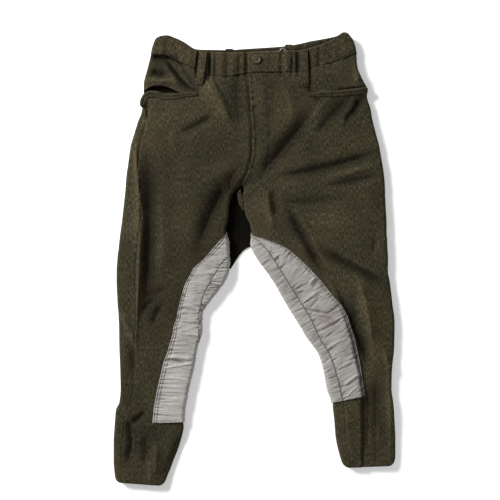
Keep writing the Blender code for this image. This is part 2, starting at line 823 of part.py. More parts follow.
def front_band(leg):
    columns = FRONT_OUTER + FRONT_INNER + 1
    grid = []
    for k in range(BAND_ROWS, -1, -1):
        line = [band_point(leg, i, k, False) for i in range(columns)]
        if leg is right:
            for t in (0.5, 1.0):
                x = fly_edge(400) + mix(FLY_LAP, BAND_LAP, t)
                y = band_height(leg, 0, x, k, False)
                line.append(Vector((x, y, top(leg, x, y) - BAND_DROP)))
        grid.append(line)
    sheet = Sheet()
    sheet.add_grid(grid, leg is left)
    return sheet


def back_band():
    grid = []
    for k in range(BAND_ROWS, -1, -1):
        halves = []
        for leg in (right, left):
            line = [band_point(leg, i, k, True) for i in range(back_columns())]
            start = line[-1].x
            stop = seat_seam(400)
            for n in range(1, FORK_COLUMNS + 1):
                if n == FORK_COLUMNS and leg is left:
                    break
                x = mix(start, stop, n / FORK_COLUMNS)
                y = band_height(leg, 99, x, k, True)
                line.append(Vector((x, y, under(leg, x, y))))
            halves.append(line)
        grid.append(halves[0] + halves[1][::-1])
    sheet = Sheet()
    sheet.add_grid(grid, True)
    return sheet


def tree_of(things):
    points = []
    faces = []
    for thing in things:
        start = len(points)
        points += [v.co * 1000 for v in thing.data.vertices]
        faces += [[start + k for k in f.vertices] for f in thing.data.polygons]
    return BVHTree.FromPolygons(points, faces)


def height_on(tree, x, y, spread_by=1.5):
    """The highest point of the cloth near a place."""
    best = None
    for dx in (-spread_by, 0, spread_by):
        for dy in (-spread_by, 0, spread_by):
            hit = tree.ray_cast(Vector((x + dx, y + dy, 200)), Vector((0, 0, -1)))[0]
            if hit is not None and (best is None or hit.z > best):
                best = hit.z
    return best


def strip(name, tree, start, stop, wide, count, lift, material):
    """A flat strip over the cloth, its ends pressed down and its middle raised."""
    along = Vector((stop[0] - start[0], stop[1] - start[1], 0))
    across = Vector((along.y, -along.x, 0)).normalized() * (wide / 2)
    sheet = Sheet()
    grid = []
    for j in range(count + 1):
        t = j / count
        centre = Vector((start[0], start[1], 0)) + along * t
        line = []
        rise = lift * smooth(0, 0.16, t) * smooth(1, 0.84, t)
        for k in (1, 0, -1):
            p = centre + across * k
            p.z = height_on(tree, p.x, p.y) + GAP + rise
            line.append(p)
        high = max(p.z for p in line)
        for p in line:
            p.z = mix(p.z, high, 0.7)
        grid.append(line)
    sheet.add_grid(grid)
    return solid(name, sheet, 0.0, LOOP_WALL, material)


def turned(name, profile, sides, centre, material):
    """A round piece from its profile of (radius, height) pairs, closed on its axis or as a ring."""
    mesh = bmesh.new()
    rings = []
    for radius, height in profile:
        ring = []
        count = sides if radius > 0 else 1
        for k in range(count):
            a = 2 * math.pi * k / sides
            p = Vector((radius * math.cos(a), radius * math.sin(a), height)) + centre
            ring.append(mesh.verts.new(p * 0.001))
        rings.append(ring)
    closed = profile[0][0] > 0
    pairs = list(zip(rings, rings[1:]))
    if closed:
        pairs.append((rings[-1], rings[0]))
    for low, high in pairs:
        for k in range(sides):
            n = (k + 1) % sides
            quad = [low[k % len(low)], low[n % len(low)], high[n % len(high)], high[k % len(high)]]
            mesh.faces.new(list(dict.fromkeys(quad)))
    return finish(name, mesh, material)


made = {leg.name: Made(*front_sheet(leg), *back_sheet(leg)) for leg in (right, left)}
bands = {leg.name: front_band(leg) for leg in (right, left)}
rear = back_band()
share_normals(
    [piece.front for piece in made.values()]
    + [piece.back for piece in made.values()]
    + list(bands.values())
    + [rear]
)

for leg in (right, left):
    piece = made[leg.name]
    solid(leg.name + "_front", piece.front, 0.0, -WOOL, wool, extra=hem_wall(leg))
    solid(leg.name + "_back", piece.back, 0.0, -WOOL, wool, extra=hem_wall(leg))
    solid(leg.name + "_front_band", bands[leg.name], 0.0, -BAND, wool_trim)
solid("back_band", rear, 0.0, -BAND, wool_trim)


def bag_start(depth):
    """The pocket's cloth hangs away from the mouth and lies against the front beyond it."""
    return lambda p: -WOOL - GAP - depth * math.exp(-(((p.y - MOUTH_HEIGHT) / 13) ** 2))


def overlay(name, base, index, columns, rows, flip, start, wall, material):
    """A piece made from some of a panel's points, moved out or in."""
    sheet = Sheet()
    sheet.points = base.points
    sheet.join(cut(index, columns, rows), flip)
    return solid(name, sheet, start, wall, material, base.normals())


for leg in (right, left):
    piece = made[leg.name]
    flip = leg is left
    reach = leg.reach
    rows = [WAIST_ROWS + n for n, row in enumerate(leg.rows) if row.y_in > reach.patch_end - 2]
    tall = {j: leg.rows[j - WAIST_ROWS].y_in for j in rows}
    high = [j for j in rows if tall[j] <= reach.front_patch]
    inner = range(FRONT_OUTER, FRONT_OUTER + FRONT_INNER + 1)
    name = leg.name + "_front_patch"
    overlay(name, piece.front, piece.front_index, inner, high, flip, GAP, PATCH, patch_cloth)
    low = [j for j in rows if tall[j] <= reach.back_patch]
    inner = range(back_columns() - BACK_INNER - 1, back_columns())
    name = leg.name + "_back_patch"
    overlay(name, piece.back, piece.back_index, inner, low, not flip, GAP, PATCH, patch_cloth)
    across = range(0, WELT_COLUMNS + 1)
    rows = (WAIST_ROWS + 1, WAIST_ROWS + 2)
    name = leg.name + "_pocket_welt"
    overlay(name, piece.front, piece.front_index, across, rows, flip, GAP, LOOP_WALL, wool_trim)
    across = range(1, WELT_COLUMNS + 1)
    rows = range(WAIST_ROWS - 1, WAIST_ROWS + 4)
    name = leg.name + "_pocket_bag"
    sag = bag_start(BAG_DEPTH[leg.name])
    overlay(name, piece.front, piece.front_index, across, rows, flip, sag, -PATCH, wool_trim)

UnderlapRow = namedtuple("UnderlapRow", "y width height")

UNDERLAP = [
    UnderlapRow(140, 3.0, 11.5), UnderlapRow(132, 8.5, 11.0), UnderlapRow(122, 10.0, 10.5),
    UnderlapRow(112, 9.0, 10.0), UnderlapRow(103, 6.0, 9.5), UnderlapRow(98, 1.5, 9.0),
]

# The fly's underlap ends in a small crescent beside the left leg's roll
sheet = Sheet()
grid = []
for row in UNDERLAP:
    edge = left.inner(row.y) - GAP - 0.2
    line = []
    for t in (1.0, 0.5, 0.0):
        line.append(Vector((edge - row.width * t, row.y, row.height - 2.5 * t * t)))
    grid.append(line)
sheet.add_grid(grid)
solid("fly_underlap", sheet, 0.0, -1.5, wool_trim)

shells = [bpy.data.objects[leg.name + end] for leg in (right, left) for end in ("_front", "_front_band")]
cover = tree_of(shells)
strip("right_front_loop", cover, (-102, 417), (-110, 350), LOOP_WIDTH, 9, 1.6, wool_trim)
strip("left_front_loop", cover, (99, 417.5), (102, 346), LOOP_WIDTH - 1, 9, 1.6, wool_trim)

for name, x in (("right_back_loop", -51), ("left_back_loop", 69)):
    sheet = Sheet()
    high = back_top(x) + 2
    grid = [[Vector((x + dx, high - 68 * t, 0)) for dx in (-7, 7)] for t in (0, 0.5, 1)]
    sheet.add_grid(grid, True)
    solid(name, sheet, 0.0, -(LOOP_RISE - GAP), wool_trim)

button_x, button_y = 4.2, 400
seat = max(height_on(cover, button_x + dx, button_y + dy, 3) for dx in (-6, 0, 6) for dy in (-6, 0, 6))
r = BUTTON_RADIUS
profile = [
    (0, 0), (r - 1.4, 0), (r - 0.4, 0.5), (r, 1.4), (r - 0.2, 2.4), (r - 1.2, BUTTON_WALL),
    (r - 2.4, BUTTON_WALL - 0.2), (r - 3.2, BUTTON_WALL - 0.9), (0, BUTTON_WALL - 1.0),
]
button = turned("waist_button", profile, 28, Vector((button_x, button_y, seat + GAP)), horn)
for n in range(4):
    a = math.pi / 4 + n * math.pi / 2
    bpy.ops.mesh.primitive_cylinder_add(
        vertices=10,
        radius=0.0010,
        depth=0.012,
        location=(
            (button_x + 2.1 * math.cos(a)) * 0.001,
            (button_y + 2.1 * math.sin(a)) * 0.001,
            (seat + 2) * 0.001,
        ),
    )
    cutter = bpy.context.object
    cutter.name = "button_hole_cutter_%d" % n
    cutter.hide_render = True
    cutter.display_type = "WIRE"
    hole = button.modifiers.new("hole_%d" % n, "BOOLEAN")
    hole.operation = "DIFFERENCE"
    hole.solver = "EXACT"
    hole.object = cutter

r = EYELET_RADIUS
ring = [(r - 3.4, 0.0), (r - 0.5, 0.0), (r, 0.5), (r - 0.7, 1.5), (r - 2.2, 1.8), (r - 3.4, 1.2)]
turned("brace_eyelet", ring, 24, Vector((57, 418, LOOP_RISE + BAND + GAP)), metal)
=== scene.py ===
"""Looks of the wool riding breeches: their cloth, folds, stitching, materials, light and camera.

The tables are in millimetres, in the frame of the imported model: +Z up from the surface, +Y to the
waist, +X to the wearer's left. Meshes are in metres.
"""

import math
from collections import namedtuple

import bpy
import numpy as np
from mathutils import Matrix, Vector
from mathutils.bvhtree import BVHTree


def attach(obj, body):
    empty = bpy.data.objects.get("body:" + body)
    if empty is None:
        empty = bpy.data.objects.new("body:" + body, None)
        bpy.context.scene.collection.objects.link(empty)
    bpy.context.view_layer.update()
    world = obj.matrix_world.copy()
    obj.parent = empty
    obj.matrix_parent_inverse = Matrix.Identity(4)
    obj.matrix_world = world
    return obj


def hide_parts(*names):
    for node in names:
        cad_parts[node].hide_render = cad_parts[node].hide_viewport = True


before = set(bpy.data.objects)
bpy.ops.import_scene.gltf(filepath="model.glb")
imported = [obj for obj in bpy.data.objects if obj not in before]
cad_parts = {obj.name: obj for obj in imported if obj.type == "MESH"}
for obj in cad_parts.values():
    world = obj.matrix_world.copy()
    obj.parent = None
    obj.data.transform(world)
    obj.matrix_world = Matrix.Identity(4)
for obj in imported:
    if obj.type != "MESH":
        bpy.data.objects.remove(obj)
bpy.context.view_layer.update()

MM = 0.001

# Cloth thicknesses and the sizes of the sewn parts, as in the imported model
WOOL = 2.0
BAND = 3.0
PATCH = 1.2
GAP = 0.3
SEAM_SHUT = 0.04
ROLL = 7.0
QUARTER = ROLL * math.pi / 2
WEB_RISE = 3.9
LOOP_RISE = 2.5
LOOP_WALL = 1.8
FLY_LAP = 9.0
FLY_DROP = 3.0
BAND_LAP = 36.0
BAND_DROP = 4.2
BUTTON_RADIUS = 8.9
EYELET_RADIUS = 7.0
HEM_TURN = 22.0
HEM_EXTRA = 1.2
HEM_CORNER = 11.0

# Each leg's sections. out and inner are the outline; crown and edge are heights of the top side at
# the middle and beside the rolled edges. The rest are distances round the cloth: seam from the
# outer edge to the outseam; patch and inseam from the inner edge, over the top; under from the
# inner edge to the back patch's edge, along the underside.
Section = namedtuple("Section", "y out inner crown edge seam patch inseam under")

RIGHT_SECTIONS = [
    Section(452, -188, -30, 18, 16, 0, 34, -11, 40),
    Section(443, -199, -30, 18, 16, 0, 34, -11, 40),
    Section(431, -203, -30, 18, 16, 0, 34, -11, 40),
    Section(411, -208, -30, 19, 16, 0, 34, -11, 40),
    Section(375, -217, -30, 20, 16, 0, 32, -11, 40),
    Section(351, -222, -30, 22, 16, 2, 31, -11, 42),
    Section(327, -222, -30, 23, 15, 6, 30, -11, 42),
    Section(313, -226, -30, 23, 15, 9, 30, -11, 42),
    Section(303, -225, -30, 23, 14, 12, 29, -11, 44),
    Section(279, -233, -30, 24, 14, 20, 28, -11, 44),
    Section(231, -247, -28, 25, 14, 22, 27, -11, 46),
    Section(183, -255, -26, 25, 14, 26, 26, -11, 46),
    Section(159, -258, -28, 25, 14, 30, 25, -11, 48),
    Section(142, -259, -39, 25, 14, 32, 24, -11, 48),
    Section(121, -261, -49, 25, 14, 34, 22, -11, 50),
    Section(104, -263, -52, 24, 14, 38, 20, -11, 50),
    Section(85, -265, -53, 24, 14, 42, 17, -11, 50),
    Section(60, -268, -57, 23, 14, 42, 10, -11, 50),
    Section(33, -272, -52, 23, 14, 42, 24, -11, 52),
    Section(22, -273, -51.5, 23, 14, 42, 34, -11, 53),
    Section(10, -275, -51, 23, 14, 42, 44, -2, 54),
    Section(-5, -276, -50, 23, 14, 42, 60, 16, 56),
    Section(-20, -277, -51, 22, 14, 42, 75, 25, 58),
    Section(-45, -277, -61, 22, 14, 42, 78, 30, 58),
    Section(-69, -276, -79, 21, 13, 41, 68, 24, 54),
    Section(-93, -275, -97, 21, 13, 40, 56, 13, 48),
    Section(-112, -273, -105, 20, 13, 39, 52, 9, 46),
    Section(-141, -272, -105, 20, 13, 37, 60, 9, 48),
    Section(-177, -271, -115, 19, 13, 34, 59, 0, 48),
    Section(-213, -270, -121, 18, 13, 32, 65, -4, 50),
    Section(-261, -269, -133, 17, 12.5, 29, 64, -5, 50),
    Section(-289, -272, -138, 16, 12.5, 27, 64, -5, 50),
    Section(-300, -278, -140, 16, 12.5, 26, 64, -5, 50),
    Section(-333, -281, -141, 15, 12, 24, 66, -5, 50),
    Section(-369, -283, -149, 14, 12, 22, 60, -5, 46),
    Section(-405, -283, -163, 14, 12, 20, 52, -5, 42),
    Section(-430, -281, -173, 14, 12, 18, 48, -5, 40),
    Section(-455, -277, -183, 14, 12, 18, 44, -5, 38),
]

LEFT_SECTIONS = [
    Section(452, 192, -8, 18, 16, 0, 30, -11, 26),
    Section(443, 197, -8, 18, 16, 0, 30, -11, 26),
    Section(431, 201, -8, 18, 16, 0, 30, -11, 26),
    Section(411, 205, -8, 19, 16, 0, 30, -11, 26),
    Section(387, 207, -8, 20, 16, 2, 30, -11, 28),
    Section(363, 216, -8, 21, 16, 4, 30, -11, 28),
    Section(341, 226, -8, 22, 16, 6, 30, -11, 30),
    Section(327, 226, -8, 23, 15, 7, 30, -11, 30),
    Section(303, 233, -10, 23, 14, 8, 30, -11, 30),
    Section(279, 237, -12, 24, 14, 8, 29, -11, 32),
    Section(231, 249, -16, 25, 14, 8, 28, -11, 34),
    Section(183, 258, -22, 25, 14, 8, 27, -11, 36),
    Section(159, 261, -25, 25, 14, 8, 26, -11, 38),
    Section(142, 262, -27, 25, 14, 8, 25, -11, 40),
    Section(115, 263, -22, 25, 14, 8, 22, -11, 42),
    Section(91, 264, -18, 24, 14, 8, 16, -11, 44),
    Section(68, 265, -8, 24, 14, 8, 10, -11, 46),
    Section(51, 265, -7, 23, 14, 8, 12, 0, 48),
    Section(41, 266, -7, 23, 14, 8, 34, 12, 50),
    Section(29, 266, -7, 23, 14, 8, 62, 26, 52),
    Section(15, 267, -1, 23, 14, 8, 78, 33, 56),
    Section(-3, 268, 10, 22, 14, 8, 87, 34, 58),
    Section(-23, 268, 24, 22, 14, 8, 93, 33, 60),
    Section(-46, 272, 40, 22, 14, 8, 98, 31, 60),
    Section(-72, 275, 55, 21, 13, 8, 104, 32, 60),
    Section(-94, 277, 68, 21, 13, 8, 109, 33, 60),
    Section(-112, 280, 79, 20, 13, 8, 108, 33, 60),
    Section(-133, 281, 92, 20, 13, 8, 102, 31, 60),
    Section(-156, 281, 106, 20, 13, 8, 96, 27, 58),
    Section(-189, 279, 129, 19, 13, 8, 81, 24, 54),
    Section(-219, 276, 139, 18, 13, 8, 77, 25, 52),
    Section(-260, 275, 147, 17, 12.5, 8, 75, 28, 50),
    Section(-285, 278, 155, 16, 12.5, 8, 70, 25, 50),
    Section(-321, 281, 160, 15, 12.5, 8, 66, 24, 46),
    Section(-357, 283, 163, 14, 12, 8, 64, 23, 44),
    Section(-393, 283, 171, 14, 12, 8, 56, 22, 42),
    Section(-420, 278, 180, 14, 12, 8, 48, 20, 40),
]

# The waist's lines across the garment: top edges and waistband seams of its front and its back.
Waist = namedtuple("Waist", "x front_top front_seam back_top back_seam")

WAIST = [
    Waist(-209, 424, 410, 424, 410),
    Waist(-203, 437, 410, 436, 408),
    Waist(-195, 446, 409, 445, 406),
    Waist(-176, 449, 407, 447, 402),
    Waist(-155, 442, 397, 441, 395),
    Waist(-141, 435, 391, 434, 388),
    Waist(-119, 421, 383, 422, 380),
    Waist(-95, 416, 371, 421, 378),
    Waist(-55, 414, 366, 420.5, 377),
    Waist(-14, 415, 373, 423, 378),
    Waist(20, 417, 375, 425, 380),
    Waist(60, 418, 375, 428, 383),
    Waist(91, 419, 375, 433, 387),
    Waist(112, 424, 383, 438, 390),
    Waist(135, 431, 389, 442, 396),
    Waist(160, 443, 395, 447, 402),
    Waist(180, 455, 403, 453, 406),
    Waist(192, 451, 408, 449, 409),
    Waist(200, 437, 411, 436, 410),
    Waist(206, 424, 411, 424, 411),
]

# The fly's lapped edge and the seat seam
Line = namedtuple("Line", "y x")

FLY_EDGE = [
    Line(440, -13.5), Line(381, -12), Line(335, -9), Line(289, -5.5), Line(259, -3),
    Line(217, -3), Line(193, -7), Line(169, -15.5), Line(152, -24.5), Line(120, -30),
]
SEAT_SEAM = [Line(440, 0), Line(165, -22), Line(128, -29.5), Line(0, -29.5)]
RIGHT_FORK = [Line(9, -29.8), Line(-5, -39), Line(-19, -48)]
LEFT_FORK = [Line(27, -8.5), Line(16, -24), Line(10, -28.6)]

# Right and left pocket mouths across the front: upper and lower lips, which meet where it is sewn
Mouth = namedtuple("Mouth", "x up low")

MOUTHS = {
    "right": [
        Mouth(-222, 337, 334), Mouth(-213, 342, 334), Mouth(-206, 346, 336), Mouth(-198, 347.5, 335),
        Mouth(-185, 347, 331.5), Mouth(-172, 344, 330), Mouth(-163, 340, 330), Mouth(-150, 334.5, 330.5),
        Mouth(-138, 332, 331.5), Mouth(-134, 332, 332), Mouth(10, 332, 332),
    ],
    "left": [
        Mouth(-12, 334, 334), Mouth(120, 334, 334), Mouth(150, 337, 337), Mouth(160, 338.6, 337),
        Mouth(180, 341, 339.2), Mouth(205, 344, 341.6), Mouth(226, 346, 343.6),
    ],
}

# Hem lines: height on the page at the outer and the inner edge
Slant = namedtuple("Slant", "outer inner")
HEMS = {"right": Slant(-447, -454), "left": Slant(-414, -418)}
PATCH_ENDS = {"right": Slant(-329, -326), "left": Slant(-262, -287)}

# Where each front patch starts, where each back patch is at its full width, where both stop, and
# where the fork lets go of the leg
Reach = namedtuple("Reach", "front_patch back_patch patch_end fork")
REACH = {"right": Reach(62, -6, -328, 22), "left": Reach(53, 39, -287, 68)}

# How far each front patch's edge turns in to its point, and over what length; where each back
# patch starts; how far along the leg the patches' thickness fades in and out
PATCH_POINT = {"right": 21.0, "left": 12.0}
POINT_LENGTH = 30
BACK_PATCH_START = {"right": 15, "left": 52}
PATCH_FADE = 12

# Down the page, one rounded form across the seat turns into one for each leg between these heights
SEAT_END = 190
LEGS_START = 110
LOWEST_TOP = 6.0

# Down the page, each front turns from lying flat to closed round its leg between these heights
FRONT_CLOSES = {"right": (166, 127), "left": (160, 126)}

# The back rises onto the back loops between these heights, and onto its patch over this width
BACK_RISES = (310, 345)
PATCH_SLOPE = 9

# Up the page, the front's edge rises onto the fork's web over this length
WEB_SLOPE = 24

# The right front sinks under the left one between these distances from the fly's edge, and fades
# in between these heights
SINKS_ACROSS = (-9, -1)
SINKS_UP = (120, 150)

# Which uneven field each leg's wool takes, the same for its front and its back
SEEDS = {"right": 11, "left": 21}

# Heights on the page from which the search for a line across the cloth starts
WAIST_GUESS = 400.0
MOUTH_UP_GUESS = 345.0
MOUTH_LOW_GUESS = 335.0
HEM_GUESS = -430.0

# The folds. Each runs from its first point to its last and bends towards the one between; left and
# right are its widths as seen from its start. height times RELIEF is how far it stands above the
# cloth round it, so a negative one is a trough.
Fold = namedtuple("Fold", "x0 y0 x1 y1 x2 y2 left right height")

FOLDS = [
    Fold(-176, 402, -150, 376, -116, 338, 9, 13, -5.0),
    Fold(-99, 359, -68, 322, -45, 269, 9, 20, 4.0),
    Fold(-83, 289, -109, 268, -149, 252, 9, 9, -3.0),
    Fold(-29, 187, -84, 118, -112, 23, 14, 16, -4.5),
    Fold(-238, 243, -222, 88, -238, -175, 10, 10, 3.0),
    Fold(-214, 205, -204, 80, -219, -100, 16, 18, -4.5),
    Fold(-269, -105, -253, -131, -237, -173, 9, 9, 4.0),
    Fold(-186, -91, -197, -112, -206, -131, 8, 8, -2.5),
    Fold(-256, -315, -232, -367, -258, -410, 10, 10, -4.0),
    Fold(-195, -367, -197, -402, -199, -435, 10, 12, 3.0),
    Fold(216, 326, 196, 298, 178, 272, 9, 8, -5.0),
    Fold(206, 318, 187, 290, 172, 266, 8, 8, 2.5),
    Fold(128, 309, 70, 236, 10, 165, 14, 16, -5.0),
    Fold(245, 215, 150, 180, 48, 166, 12, 9, -4.0),
    Fold(33, 137, 41, 110, 43, 85, 9, 8, -3.0),
    Fold(68, 97, 100, 45, 137, -27, 12, 9, -4.5),
    Fold(268, -52, 205, -18, 137, 19, 11, 9, -4.5),
    Fold(207, -35, 229, -98, 236, -167, 15, 15, 5.0),
    Fold(165, -65, 201, -132, 226, -203, 12, 8, -5.0),
    Fold(243, -235, 246, -310, 244, -395, 17, 15, -3.0),
    Fold(204, 400, 206, 375, 207, 350, 8, 7, 3.0),
    Fold(-214, 404, -156, 412, -146, 374, 3, 9, -6.5),
    Fold(-152, 400, -150, 358, -112, 342, 3.5, 9, -6.0),
    Fold(-180, 390, -170, 374, -150, 352, 7, 7, 2.8),
    Fold(-204, 380, -192, 366, -176, 372, 8, 10, -3.4),
    Fold(-196, 352, -170, 366, -140, 344, 5, 6, 2.2),
    Fold(-214, 356, -190, 364, -160, 350, 7, 6, 1.8),
    Fold(-88, 364, -70, 330, -52, 300, 4, 7, 1.6),
    Fold(-33, 366, -36, 320, -30, 262, 14, 16, -1.8),
    Fold(-160, 262, -168, 236, -150, 206, 10, 10, 1.2),
    Fold(-222, 316, -217, 290, -215, 258, 5, 6, 2.0),
    Fold(-240, 245, -232, 130, -223, 86, 4, 5, 1.6),
    Fold(-223, 86, -230, -30, -238, -176, 4, 5, 1.5),
    Fold(-190, 150, -176, 60, -190, -40, 16, 18, 1.6),
    Fold(-199, -79, -212, -88, -226, -103, 5, 6, -2.2),
    Fold(-176, -58, -196, -70, -222, -72, 7, 7, -1.6),
    Fold(-252, -150, -240, -190, -246, -236, 8, 9, -2.0),
    Fold(-218, -306, -230, -316, -246, -330, 5, 6, -3.0),
    Fold(-262, -300, -250, -322, -234, -342, 6, 7, 2.5),
    Fold(-222, -352, -214, -380, -222, -412, 8, 9, -2.0),
    Fold(-150, -352, -166, -400, -184, -444, 7, 8, -2.0),
    Fold(-212, -402, -206, -424, -208, -446, 5, 6, 1.5),
    Fold(199, 329, 151, 290, 123, 246, 14, 12, -2.6),
    Fold(150, 322, 120, 296, 96, 262, 8, 9, 1.8),
    Fold(251, 167, 199, 158, 148, 147, 8, 7, -2.4),
    Fold(247, 190, 200, 174, 150, 164, 6, 7, 1.6),
    Fold(179, 123, 105, 112, 51, 115, 9, 8, -1.8),
    Fold(25, 129, 30, 95, 39, 55, 5, 6, 1.8),
    Fold(84, 98, 112, 50, 148, -16, 6, 7, 2.0),
    Fold(262, -40, 215, -8, 160, 14, 7, 6, 1.8),
    Fold(241, 42, 242, 28, 236, 14, 5, 5, -1.6),
    Fold(150, -44, 176, -90, 206, -150, 5, 6, 1.8),
    Fold(261, -188, 268, -206, 271, -226, 5, 6, 2.2),
    Fold(268, -214, 274, -300, 273, -400, 6, 6, 1.6),
    Fold(226, -250, 230, -320, 228, -400, 6, 8, -1.4),
    Fold(184, -300, 190, -350, 196, -410, 10, 10, 1.2),
    Fold(36, 366, 40, 320, 30, 250, 12, 14, -1.2),
    Fold(60, 352, 78, 318, 74, 276, 9, 10, 1.3),
    Fold(106, 350, 116, 330, 140, 312, 7, 8, -1.4),
]

# The step down from the left leg's lengthwise overlap to the cloth beside its patch
Step = namedtuple("Step", "y drop")
STEP = [Step(-95, 0), Step(-140, 3), Step(-190, 6), Step(-276, 7), Step(-330, 7), Step(-420, 4.5)]
STEP_FROM_PATCH = 8.5

# Places where the cloth's colour is darker or paler all over, with half widths and heights. Several are
# painted shade, as beside the left patch's fold and across the hip below the band, and painted highlight
# along the legs' outer edges
Tone = namedtuple("Tone", "x y wide high shade")

TONES = [
    Tone(-205, 60, 30, 130, 0.72), Tone(-60, 250, 30, 90, 0.82), Tone(-95, 40, 30, 110, 0.78),
    Tone(-150, 140, 70, 120, 0.80), Tone(-240, -150, 40, 160, 0.86), Tone(196, -120, 9, 60, 0.55),
    Tone(217, -190, 7, 50, 0.55), Tone(214, -270, 8, 30, 0.6), Tone(-186, 385, 26, 20, 0.72),
    Tone(-228, -40, 9, 160, 1.14), Tone(-190, -150, 30, 70, 0.92), Tone(-170, 200, 40, 60, 1.08),
    Tone(60, 150, 30, 40, 0.86), Tone(150, 60, 50, 50, 1.05), Tone(110, 130, 40, 12, 0.88),
    Tone(215, -60, 20, 60, 0.88), Tone(195, -150, 16, 60, 0.86), Tone(262, -300, 14, 110, 1.12),
    Tone(170, 280, 30, 30, 0.86), Tone(158, 358, 40, 11, 0.80), Tone(-215, -380, 26, 50, 0.84),
    Tone(-170, -410, 14, 40, 1.10), Tone(-20, 170, 22, 40, 0.86),
]

# Lines of painted shade and painted highlight from one place on the page to another, dark below 1 and
# pale above it: beside the loops, along the hip's slump and the pocket mouths, and at the folds below
# them
Shadow = namedtuple("Shadow", "x0 y0 x1 y1 width shade")

SHADOWS = [
    Shadow(87, 414, 87, 381, 3.2, 0.2), Shadow(107, 417, 109, 338, 2.6, 0.2),
    Shadow(-113, 408, -117, 366, 2.6, 0.2), Shadow(-91, 402, -90, 374, 3.2, 0.35),
    Shadow(-204, 409, -168, 405, 4.0, 0.5), Shadow(-167, 405, -150, 393, 4.2, 0.35),
    Shadow(-149, 392, -146, 379, 4.4, 0.3), Shadow(-146, 378, -145, 364, 4.2, 0.3),
    Shadow(-144, 363, -134, 348, 4.0, 0.35), Shadow(-133, 347, -121, 340, 3.5, 0.5),
    Shadow(-206, 374, -178, 368, 7.0, 0.66), Shadow(-217, 312, -217, 286, 3.5, 0.4),
    Shadow(-210, 308, -213, 262, 2.8, 1.5), Shadow(170, 341, 222, 346.5, 2.8, 0.12),
    Shadow(218, 326, 198, 292, 4.5, 0.4),
]

# Gathers in the waistband and the cloth below it: x is at the band's seam, lean is how far they lean
# for each millimetre up, height is negative for a groove, and tail is how far they run below.
Gather = namedtuple("Gather", "x lean width height tail")

GATHERS = [
    Gather(-176, 0.0, 6, -1.2, 6), Gather(-150, 0.1, 8, 0.8, 10), Gather(-132, 0.1, 5, 0.9, 12),
    Gather(-116, 0.12, 2.4, -4.2, 22), Gather(-90, 0.03, 2.8, -4.6, 16),
    Gather(-79, 0.02, 2.6, -2.4, 18), Gather(-67, 0.0, 4.0, 1.5, 14), Gather(-55, -0.02, 3.0, -2.2, 20),
    Gather(-43, 0.0, 4.0, 1.2, 14), Gather(-31, 0.02, 3.0, -2.4, 24), Gather(-18, 0.0, 2.4, -2.2, 18),
    Gather(34, 0.0, 5.0, -1.0, 12), Gather(53, 0.03, 2.6, -2.4, 18), Gather(64, 0.0, 4.0, 1.4, 14),
    Gather(75, 0.02, 2.6, -3.0, 20), Gather(86, -0.02, 2.8, -4.4, 18), Gather(109, -0.04, 2.2, -4.4, 14),
    Gather(129, 0.0, 3.0, -2.4, 14), Gather(152, 0.0, 6.0, -0.9, 8), Gather(178, 0.0, 5.0, 0.8, 8),
]

# Crosswise wrinkles in the patches: each from one share of the patch's width to another, at a
# height on the page, falling by slope towards the inseam.
Wrinkle = namedtuple("Wrinkle", "y first last slope width height")

WRINKLES = {
    "right": [
        Wrinkle(-196, 0.0, 0.62, 6, 3.2, 2.4), Wrinkle(-203, 0.0, 0.5, 8, 2.4, -2.2),
        Wrinkle(-212, 0.02, 0.7, -7, 2.6, 1.4), Wrinkle(-100, 0.1, 0.9, 5, 2.6, -1.2),
        Wrinkle(-74, 0.15, 0.75, 6, 2.4, 1.0), Wrinkle(-128, 0.3, 0.98, 4, 2.4, -1.1),
        Wrinkle(-150, 0.45, 1.0, 3, 2.4, 1.2), Wrinkle(-240, 0.15, 0.8, 7, 2.6, 1.0),
    ],
    "left": [
        Wrinkle(-48, 0.02, 0.42, 20, 2.4, -2.4), Wrinkle(-42, 0.06, 0.44, 18, 2.6, 1.6),
        Wrinkle(-66, 0.68, 1.0, 10, 2.0, -2.0), Wrinkle(-74, 0.36, 0.9, 18, 2.8, 1.5),
        Wrinkle(-86, 0.40, 0.86, 24, 2.4, -1.4), Wrinkle(-104, 0.42, 1.0, -8, 2.4, -1.8),
        Wrinkle(-110, 0.42, 0.95, -6, 2.6, 1.4), Wrinkle(-128, 0.2, 1.0, 16, 2.2, 1.2),
        Wrinkle(-134, 0.2, 1.0, 16, 1.8, -1.2), Wrinkle(-166, 0.2, 0.95, 14, 2.2, 1.0),
        Wrinkle(-210, 0.25, 0.9, 12, 2.2, 1.3), Wrinkle(-216, 0.25, 0.9, 12, 1.8, -1.1),
        Wrinkle(-240, 0.16, 0.8, 16, 2.4, 1.6), Wrinkle(-247, 0.16, 0.8, 16, 2.0, -1.2),
        Wrinkle(-262, 0.2, 0.8, 18, 2.4, 1.5), Wrinkle(-22, 0.3, 0.8, 16, 2.0, 0.9),
    ],
}

# The welts' middle lines on the page, with their widths
Welt = namedtuple("Welt", "x y width")

WELTS = {
    "right": [
        Welt(-115, 330.5, 7), Welt(-135, 329.5, 9), Welt(-158, 326.5, 11), Welt(-180, 325.5, 12.5),
        Welt(-197, 330.5, 12.5), Welt(-210, 331, 12.5), Welt(-219, 325, 12), Welt(-223.5, 315, 11),
        Welt(-224.5, 309, 8.5), Welt(-223, 304.5, 3),
    ],
    "left": [
        Welt(108, 329, 7), Welt(128, 330, 9), Welt(155, 331.5, 11), Welt(185, 334, 12),
        Welt(210, 337, 12.5), Welt(221, 338.5, 12.5), Welt(226, 338.8, 10),
    ],
}

# Belt loops on the front: ends of the middle line, and widths there
Loop = namedtuple("Loop", "x0 y0 x1 y1 width0 width1 tilt")

LOOPS = {
    "right_front_loop": Loop(-102, 417, -110, 350, 15.5, 13, 0.5),
    "left_front_loop": Loop(99, 417.5, 102, 346, 14, 12, -0.5),
}


def smooth(edge0, edge1, value):
    t = np.clip((value - edge0) / (edge1 - edge0), 0.0, 1.0)
    return t * t * (3 - 2 * t)


